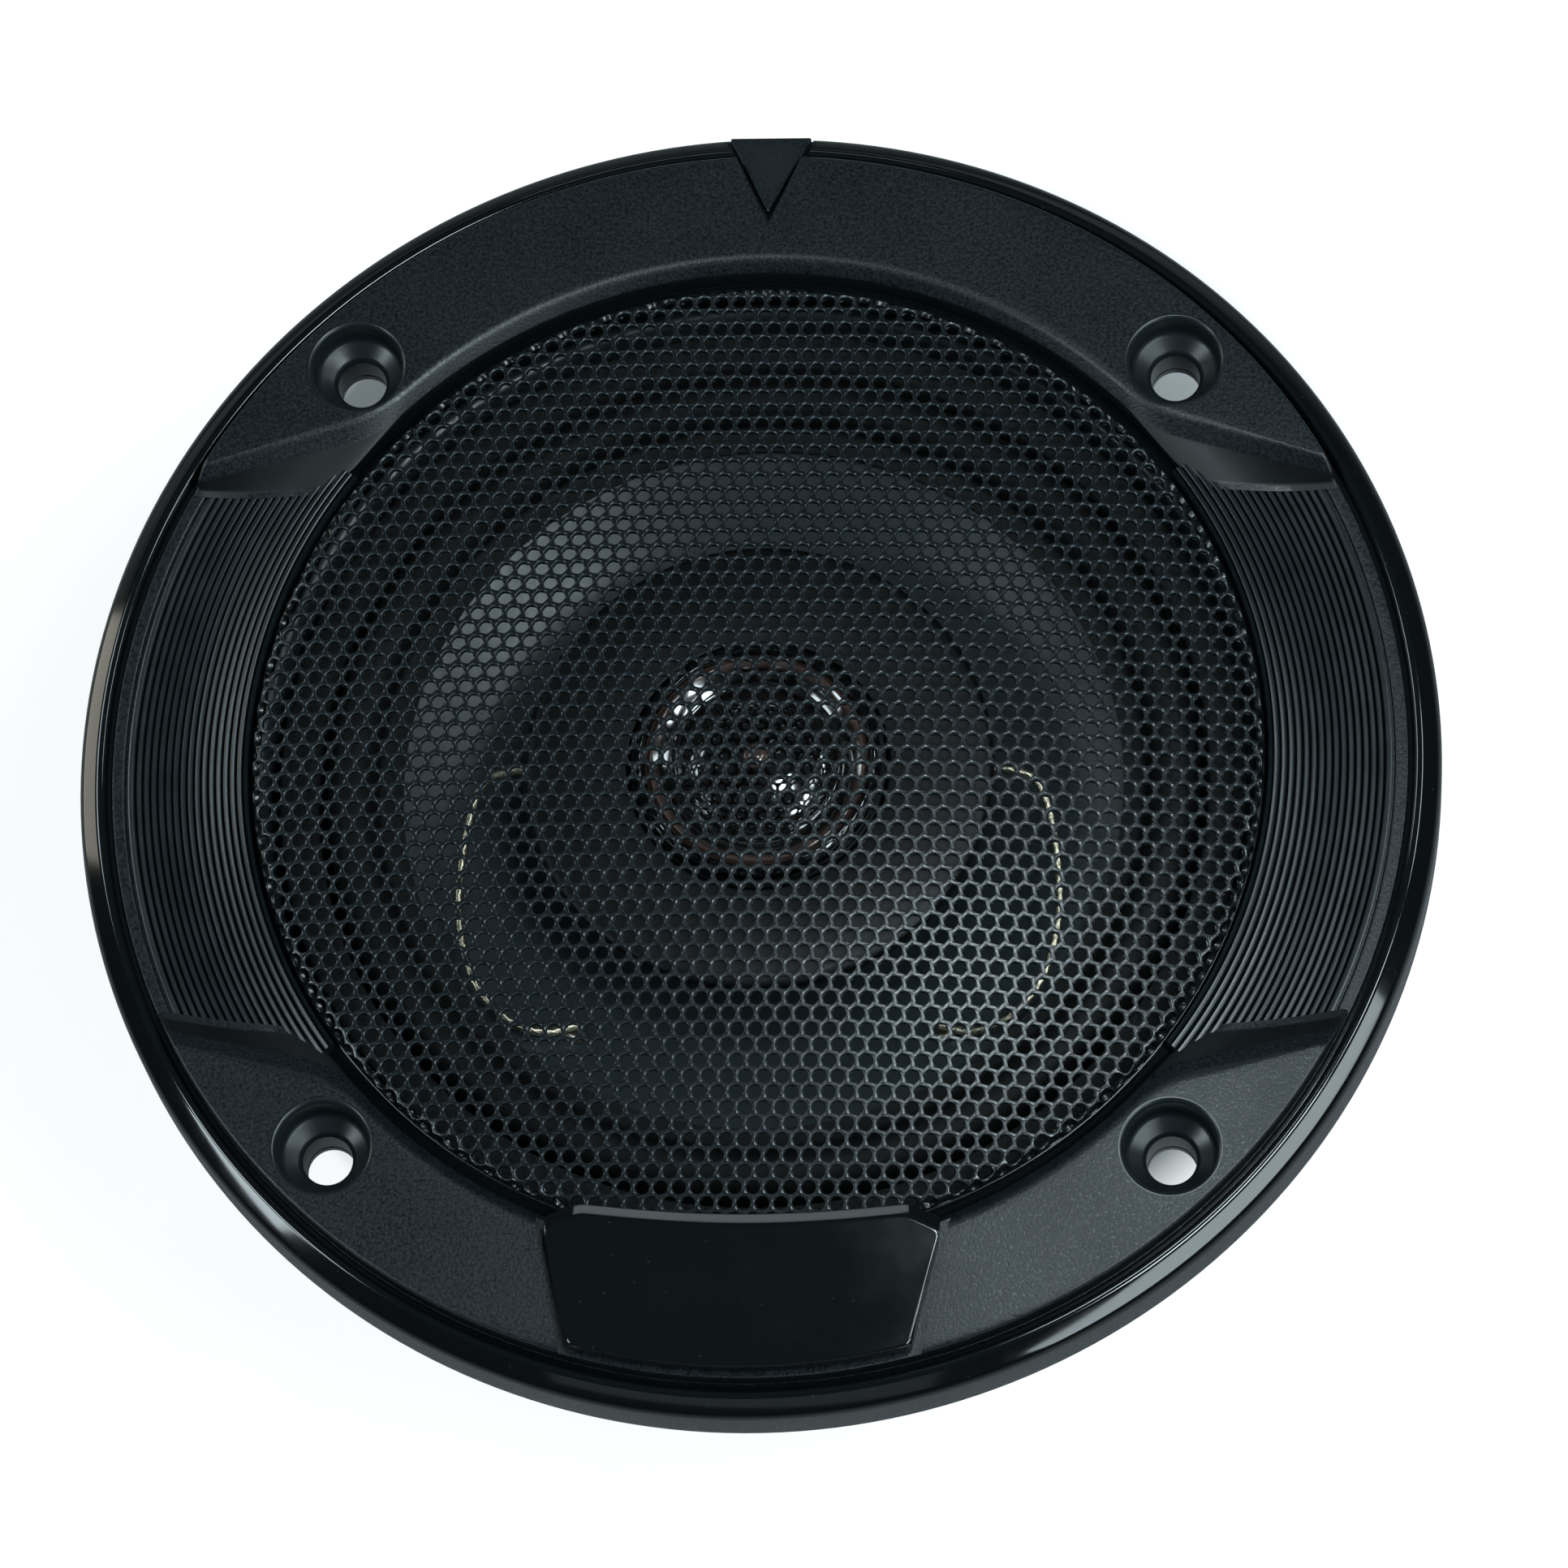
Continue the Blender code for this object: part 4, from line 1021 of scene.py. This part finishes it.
# Motor and basket
def motor():
    """Steel yoke with its pole, ferrite ring and top plate, stacked on the axis, and the basket's rivets."""
    yoke = [(POLE_BORE_R, 0, 0.4), (YOKE_R, 0, 1.0), (YOKE_R, YOKE_TOP, 0.4), (POLE_R, YOKE_TOP, 1.5)]
    yoke += [(POLE_R, POLE_TOP, 0.7), (POLE_BORE_R, POLE_TOP, 0.3)]
    turned("yoke", yoke, "plated_steel", 160)
    turned("magnet", box(MAGNET_R, MAGNET_Z, (0.6, 1.0, 1.0, 0.6)), "ferrite", 160)
    made = turned("top_plate", box(TOP_PLATE_R, TOP_PLATE_Z, (0.3, 0.3, 0.7, 0.3)), "plated_steel", 160)
    carve(made, columns(RIVET_CIRCLE_R, RIVET_HOLE_R, 19.9, RIVET_TOP, 24))
    rivet = [(0, 20.3), (RIVET_SHANK_R, 20.3), (RIVET_SHANK_R, 24.7), (3.2, 24.7, 0.15), (2.9, 25.5, 0.5)]
    rivet += [(RIVET_SHANK_R, RIVET_TOP, 0.8), (0, RIVET_TOP)]
    for number, angle in enumerate(SCREWS.values(), 1):
        shape = lathe(softened(rivet), 32, polar(RIVET_CIRCLE_R, angle)[:2])
        piece(f"basket_rivet_{number}", shape, "plated_steel")


def basket():
    """One pressed steel shell: floor, spider ledge, six arms, surround landing, flange and four ears."""
    top = [(16, 24.4), (32.5, 24.4, 1.4), (35.4, 29, 1.4), (41.6, 29, 1.0), (43.2, 30.6, 1.0)]
    top += [(46.4, 34.65), (49.6, 38.7), (52.8, 42.75), (56, 46.8, 1.0), (57.6, 48.3, 1.2)]
    top += [(64.4, 48.3, 1.2), (65.6, 50, 1.2), (66.2, FLANGE_TOP, 1.4), (70.8, FLANGE_TOP)]
    upper = np.array(softened(top, closed=False))
    under = offset(upper, -BASKET_SHEET)[::-1]
    # The outer edge of the flange follows the ears
    edge = np.array([(-0.3, 0), (0, -0.25), (0, 0.25 - BASKET_SHEET), (-0.3, -BASKET_SHEET)])
    edge += (FLANGE_R, FLANGE_TOP)
    profile = np.vstack([upper, edge, under])
    follows = np.concatenate([np.zeros(len(upper)), np.ones(len(edge)), np.zeros(len(under))])
    turns = np.arange(0, 360, 1.5)
    away = np.min([np.abs((turns - angle + 180) % 360 - 180) for angle in SCREWS.values()], 0)
    ear = np.clip((EAR_HALF_DEGREES - away) / EAR_FADE_DEGREES, 0, 1)
    reach = (EAR_R - FLANGE_R) * ear**2 * (3 - 2 * ear)
    radius = profile[:, 0] + np.outer(reach, follows)
    angle = np.radians(turns)[:, None]
    height = np.broadcast_to(profile[:, 1], radius.shape)
    points = np.stack([radius * np.cos(angle), radius * np.sin(angle), height], -1).reshape(-1, 3)
    rows = np.arange(len(points)).reshape(radius.shape)
    made = piece("basket", (points, weave(rows)), "painted_steel")
    windows = map(window, range(0, 360, 60))
    rivet_holes = columns(RIVET_CIRCLE_R, RIVET_HOLE_R, 21, 27, 24)
    screw_holes = columns(PATTERN_R, SCREW_HOLE_R, 50, 60, 32)
    carve(made, joined(*windows, rivet_holes, screw_holes))


def window(middle):
    """The cutter of one window between two arms, round-cornered, square to the slope of the wall."""
    low, high = np.array([43.5, 30.98]), np.array([55.7, 46.42])
    out = np.array([0.785, -0.62])
    half = WINDOW_HALF_DEGREES * DEGREE
    outline = softened(box((-half, half), (0, WINDOW_LENGTH), [WINDOW_EASE] * 4), 6)
    loops = []
    for depth in (-4, 4):
        loop = []
        for arc, run in outline:
            radius, z = low + (high - low) * run / WINDOW_LENGTH + out * depth
            loop.append(polar(radius, middle + arc / DEGREE, z)[:])
        loops.append(np.array(loop))
    return loft(loops)


# Moving system
def cone_height(radius):
    """Height of the front face of the cone, a shallow flare."""
    t = (radius - CONE_NECK[0]) / (CONE_RIM[0] - CONE_NECK[0])
    return CONE_NECK[1] + (CONE_RIM[1] - CONE_NECK[1]) * (1.12 * t - 0.12 * t * t)


def moving_system():
    """The cone with its coil and former, the gasket, and the surround and spider that centre the cone."""
    front = [(r, cone_height(r)) for r in np.linspace(CONE_NECK[0], CONE_RIM[0], 24)]
    front += [(CONE_RIM[0] + 0.4, CONE_RIM[1] + 0.12), (CONE_RIM[0] + 0.9, CONE_RIM[1] + 0.12)]
    piece("cone", lathe(pressed(front, CONE_SHEET), 180), "cone_paper")
    piece("coil_former", lathe(box(FORMER_R, FORMER_Z, [0] * 4), 120), "former_film")
    turned("voice_coil", box(COIL_R, COIL_Z, [0.15] * 4), "copper", 120)
    ring = turned("gasket_ring", box(GASKET_R, GASKET_Z, (0.5, 0.5, 0.9, 0.9)), "gasket_foam", 160)

    roll = [(CONE_RIM[0] - 1.6, 52.05), (50.2, 52.05)]
    sweep = np.radians(np.linspace(176, 8, 22))
    roll += [(54.6 + 3.5 * math.cos(a), 52.3 + 3.9 * math.sin(a)) for a in sweep]
    roll += [(58.3, 50.6), (58.6, 49.75), (59.1, 49.35), (59.9, 49.3), (64.2, 49.3)]
    sectors("surround", pressed(roll, SURROUND_SHEET), "surround_rubber")

    steps = np.linspace(0, 1, 85)
    wave = np.stack([16.4 + 16.8 * steps, 30.8 - 0.8 * np.cos(steps * 6 * math.pi)], -1)
    neck = [(13.3, 32.2), (13.9, 32.05), (14.6, 31.5), (15.2, 30.7), (15.8, 30.15)]
    ledge = [(33.8, 30.05), (34.6, 29.93), (35.6, 29.9), (40.6, 29.9)]
    cloth = pressed(np.vstack([neck, wave, ledge]), SPIDER_SHEET)
    sectors("spider", cloth, "spider_cloth")


def sectors(node, profile, slot):
    """A turned soft ring in equal sectors, each a piece of its own."""
    step = 360 / SECTORS
    for number in range(SECTORS):
        middle = number * step
        shape = lathe(profile, 16, arc=(middle - step / 2, middle + step / 2))
        made = piece(node, shape, slot, f"{node}_sector_{number + 1:02}", sharp=180, riding=False)
        match_round(made.data, profile)
        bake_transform(made)


def match_round(mesh, profile):
    """Gives a sector the normals of the whole turned ring, so that it meets its neighbours without a seam."""
    half = len(profile) // 2
    runs = np.gradient(profile[:half], axis=0)
    upper = np.stack([-runs[:, 1], runs[:, 0]], -1) / np.linalg.norm(runs, axis=1)[:, None]
    facing = np.vstack([upper, -upper[::-1]])
    normals = []
    for vert in mesh.vertices:
        flat = vert.co.to_2d()
        nearest = np.argmin(np.abs(profile - (flat.length / MM, vert.co.z / MM)).sum(1))
        normals.append((*flat.normalized() * facing[nearest][0], facing[nearest][1]))
    mesh.normals_split_custom_set_from_vertices(normals)


# Tweeter
def tweeter():
    """Post, baffle, steel cup with its magnet and pole cap, coil, clear film, clamp ring and capacitor."""
    base, stem, head = POST_BASE_R, POST_R, POST_HEAD_R
    post = [(0, 0.8), (4, 0.8, 0.5), (4, 23.8, 0.2), (base, 23.8, 0.3), (base, 25.6, 0.4), (7, 26.2, 0.5)]
    post += [(stem, 28, 1.2), (stem, 47.5, 1.5), (head, 50.2, 0.6), (head, 51.7, 0.3), (0, 51.7)]
    turned("tweeter_post", post, "black_plastic", 72)
    low, high = BAFFLE_Z
    disc = [(head, low, 0.2), (BAFFLE_R, low, 0.9), (BAFFLE_R, high, 1.6), (17.4, high, 0.3)]
    disc += [(17, 58.6, 0.2), (head, 58.6, 0.2)]
    turned("tweeter_baffle", disc, "black_plastic", 144)
    cup = [(0, 52), (12.2, 52, 0.5), (12.2, 55.2, 0.3), (14.6, 55.2, 0.3), (14.6, 56.7, 0.3)]
    cup += [(12.3, 56.7, 0.3), (12.3, 58.9, 0.2), (10.15, 58.9, 0.2), (10.15, 57), (11.2, 56.4)]
    cup += [(11.2, 53.5, 0.4), (0, 53.5)]
    turned("tweeter_cup", cup, "plated_steel", 72)
    slug = [(0, 53.8), (8.2, 53.8, 0.3), (8.2, 56.6, 0.3), (0, 56.6)]
    turned("tweeter_magnet", slug, "nickel", 72)
    cap = [(0, 56.9), (8.7, 56.9, 0.2), (8.7, 58.6, 0.4), (0, 58.6)]
    turned("tweeter_pole_cap", cap, "plated_steel", 72)
    turned("tweeter_coil", box((9.2, 9.65), (56.2, 59.7), [0.1] * 4), "copper", 72)
    film = [(0, 63.5), (0.9, 63.3, 0.4), (1.5, 62.9, 0.4), (4.6, 62.75, 1.4), (7.6, 62.1, 1.4)]
    film += [(9.7, 61.2, 1.0), (10.8, 60.2, 0.5), (11.3, 60.25, 0.3), (14.15, 61.6, 0.3)]
    film += [(14.6, 60.6, 0.3), (15.4, 60.5)]
    skin = np.array(softened(film, 6, closed=False))
    back = offset(skin, -FILM_SHEET)
    back[0] = (0, skin[0][1] - FILM_SHEET)
    piece("tweeter_diaphragm", lathe(np.vstack([skin, back[::-1]]), 96), "amber_film", sharp=50)
    ring = [(15.8, 58.95), (TWEETER_R, 58.95, 0.15), (TWEETER_R, 61.55, 0.25), (15.4, 62.05, 0.3)]
    ring += [(15.1, 62.05, 0.2), (14.75, 61.5, 0.3), (14.9, 61.1), (15.8, 61.1)]
    turned("tweeter_ring", ring, "black_plastic", 96, finish=FINISHES["gloss_plastic"])
    can = [(0, -5.5), (2.2, -5.5, 0.3), (2.6, -5.1, 0.3), (2.6, 3.9, 0.3), (2.4, 4.2, 0.3), (2.6, 4.5, 0.3)]
    can += [(2.6, 5.2, 0.3), (2.2, 5.5, 0.3), (0, 5.5)]
    lying = moved(lathe(softened(can), 48), (0, 21.0, 54.1), (1, 0, 0))
    piece("tweeter_capacitor", lying, "capacitor_sleeve")


# Leads and terminals
def board_frame():
    """The terminal board's own frame: X across, Y up the arm at -Y, Z away from the arm."""
    run = Vector((0, -12.8, 16.2)).normalized()
    out = Vector((0, -run.z, run.y))
    turn = Matrix((Vector((1, 0, 0)), run, out)).transposed().to_4x4()
    return Matrix.Translation(Vector((0, -49.6, 38.7)) + out * 1.35) @ turn


def leads():
    """Braided leads: tweeter to cone in front, cone to terminals behind, with an eyelet where they meet."""
    board = board_frame()
    for side, x in (("left", -1), ("right", 1)):
        foot = Vector((x * 24.6, -33.4, 0))
        foot.z = cone_height(foot.to_2d().length)
        slope = cone_height(42.0) - cone_height(41.0)
        outward = foot.to_2d().normalized()
        normal = Vector((-outward.x * slope, -outward.y * slope, 1)).normalized()
        cap = [(0, 0.3), (1.7, 0.3, 0.1), (1.7, 0.7, 0.25), (1.15, 1.1, 0.3), (0.7, 1.05, 0.2), (0, 0.85)]
        piece(f"eyelet_{side}", moved(lathe(softened(cap), 32), foot, normal), "brass")
        front = [(x * 28.0, 0.6, 56.0), (x * 33.5, 0.4, 56.0), (x * 37.2, -1.8, 55.6), (x * 39.2, -9.5, 54.6)]
        front += [(x * 39.7, -19.0, 53.6), (x * 37.6, -27.4, 53.0), (x * 33.2, -32.6, 51.8)]
        front += [foot + Vector((x * 3.6, -0.6, 2.9)), foot + normal * 2.0]
        lead(f"tweeter_lead_{side}", front)
        back = [foot - normal * 1.6, (x * 22.6, -36.6, 42.8), (x * 16.4, -42.4, 40.6)]
        back += [(x * 11.6, -52.0, 41.2), board @ Vector((x * 9.2, 4.4, 3.4))]
        back += [board @ Vector((x * 6.4, 3.0, 3.7)), board @ Vector((x * 4.6, 1.6, 3.65))]
        lead(f"rear_lead_{side}", back[::-1])


def lead(node, route):
    """A lead from its fixed end to the cone."""
    path = eased(route, 0.3)
    made = piece(node, braid(path, LEAD_R), "tinsel", sharp=60, riding=False)
    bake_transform(made)


def terminals():
    """The phenolic board and its two tabs keep their own solids, with eased edges."""
    slots = {"terminal_board": "phenolic", "terminal_tab_wide": "brass", "terminal_tab_narrow": "brass"}
    for node, slot in slots.items():
        made = frame["nodes"][node]
        made.data.materials.clear()
        made.data.materials.append(FINISHES[slot])
        ease = made.modifiers.new("eased edges", "BEVEL")
        ease.width = 0.18 * MM
        ease.segments = 2
        ease.limit_method = "ANGLE"


# Studio
def soft_box(name, place, size, radiance, colour="#e8f9ff"):
    """A cool area lamp, in metres, that faces the speaker. Radiance is its brightness in a mirror."""
    data = bpy.data.lights.new(name, "AREA")
    data.shape = "RECTANGLE"
    data.size, data.size_y = size
    data.energy = radiance * math.pi * size[0] * size[1]
    data.color = srgb(colour)[:3]
    lamp = bpy.data.objects.new(name, data)
    lamp.location = place
    lamp.rotation_euler = (Vector((0, 0, 0.05)) - Vector(place)).to_track_quat("-Z", "Y").to_euler()
    bpy.context.scene.collection.objects.link(lamp)


def pale_paper():
    """Uncoated paper, pale grey and faintly flecked: white to the camera, but for the speaker's shade."""
    mat, tree, shader, place = blank("Pale paper sweep")
    fleck = add(tree, "TexNoise", {"Vector": place, "Scale": per(3), "Detail": 3.0})
    paper = add(tree, "Mix", {0: fleck, 6: srgb("#9e9e9e"), 7: srgb("#a4a4a4")}, data_type="RGBA", out=2)
    seen = add(tree, "LightPath", out="Is Camera Ray")
    middle = (0, SHADE_Y * MM, 0)
    away = add(tree, "VectorMath", {0: place, 1: middle}, operation="DISTANCE", out="Value")
    near, far = (radius * MM for radius in SHADE_R)
    clear = add(tree, "MapRange", {"Value": away, 1: near, 2: far, 3: 0.0, 4: 1.0})
    lift = add(tree, "Math", {0: seen, 1: clear}, operation="MULTIPLY")
    glow = {"Emission Color": srgb("#e4e4e4"), "Emission Strength": lift}
    plug(tree, shader, {"Base Color": paper, "Roughness": 0.9, **glow})
    return mat


def studio():
    """The view settings, what mirrors see around the speaker, the lamps and the paper that it lies on."""
    scene = bpy.context.scene
    scene.view_settings.view_transform = "Standard"
    world = bpy.data.worlds.new("Pale studio")
    scene.world = world
    world.use_nodes = True
    tree = world.node_tree
    rays = add(tree, "LightPath").node
    upward = add(tree, "SeparateXYZ", {0: add(tree, "TexCoord", out="Generated")}, out="Z")
    # As mirrors see them: the pale sweep at the horizon, darker walls above it and a dim, bluish ceiling
    walls = add(tree, "ValToRGB", {0: upward}).node
    for spot, colour in ((0.15, "#32393d"), (0.6, "#3a4247")):
        walls.color_ramp.elements.new(spot).color = srgb(colour)
    for end, spot, colour in ((0, 0.03, "#8e9294"), (-1, 0.92, "#48545d")):
        walls.color_ramp.elements[end].position = spot
        walls.color_ramp.elements[end].color = srgb(colour)
    ways = {0: rays.outputs["Is Glossy Ray"], 1: rays.outputs["Is Transmission Ray"]}
    mirrored = add(tree, "Math", ways, operation="MAXIMUM")
    around = {0: mirrored, 6: srgb("#545d61"), 7: walls.outputs["Color"]}
    around = add(tree, "Mix", around, data_type="RGBA", out=2)
    behind = {0: rays.outputs["Is Camera Ray"], 6: around, 7: srgb("#ffffff")}
    plug(tree, tree.nodes["Background"], {"Color": add(tree, "Mix", behind, data_type="RGBA", out=2)})

    soft_box("key", (0.483, -0.221, 0.9), (0.38, 0.19), 22.0)
    soft_box("right_panel", (0.52, 0.08, 0.9), (0.14, 0.14), 18.0)
    soft_box("right_lamp", (0.66, 0.28, 0.75), (0.22, 0.12), 11.0)
    soft_box("low_window", (0.72, -0.45, 0.55), (0.9, 0.18), 7.0)
    soft_box("desk_lamp", (0.05, 0.02, 0.35), (0.06, 0.06), 22.0)
    soft_box("left_wall", (-0.7, 0.33, 0.74), (0.3, 0.25), 7.0)
    soft_box("left_panel", (-0.8, -0.32, 0.55), (0.26, 0.22), 11.0)
    soft_box("left_lamp", (-0.63, -0.2, 0.81), (0.32, 0.16), 11.0)
    soft_box("left_window", (-0.92, 0.34, 0.2), (0.35, 0.3), 3.2, "#f6f4e4")
    soft_box("far_window", (-0.12, 0.95, 0.74), (0.4, 0.14), 2.0)
    soft_box("front_wall", (-0.07, -0.83, 0.66), (0.7, 0.12), 0.35)

    sheet = [(0, FLOOR), (FLOOR_R, FLOOR), (FLOOR_R, -4), (0, -4)]
    floor = solid("floor", lathe(sheet, 96))
    floor.data.materials.append(pale_paper())


def camera():
    """Above the badge and a little to the right, as the photograph was taken."""
    data = bpy.data.cameras.new("camera")
    data.lens, data.sensor_width = LENS, SENSOR
    data.clip_start, data.clip_end = 0.05, 50
    view = bpy.data.objects.new("camera", data)
    back = Vector(CAMERA_BACK).normalized()
    side = Vector(CAMERA_UP).cross(back).normalized()
    turn = Matrix((side, back.cross(side), back)).transposed().to_4x4()
    view.matrix_world = Matrix.Translation(CAMERA_PLACE) @ turn
    bpy.context.scene.collection.objects.link(view)
    bpy.context.scene.camera = view


def main():
    """Builds the picture."""
    camera()
    leads()
    rim()
    scoops()
    panels()
    wells()
    notch_field()
    badge()
    pan()
    motor()
    basket()
    moving_system()
    tweeter()
    terminals()
    studio()


main()
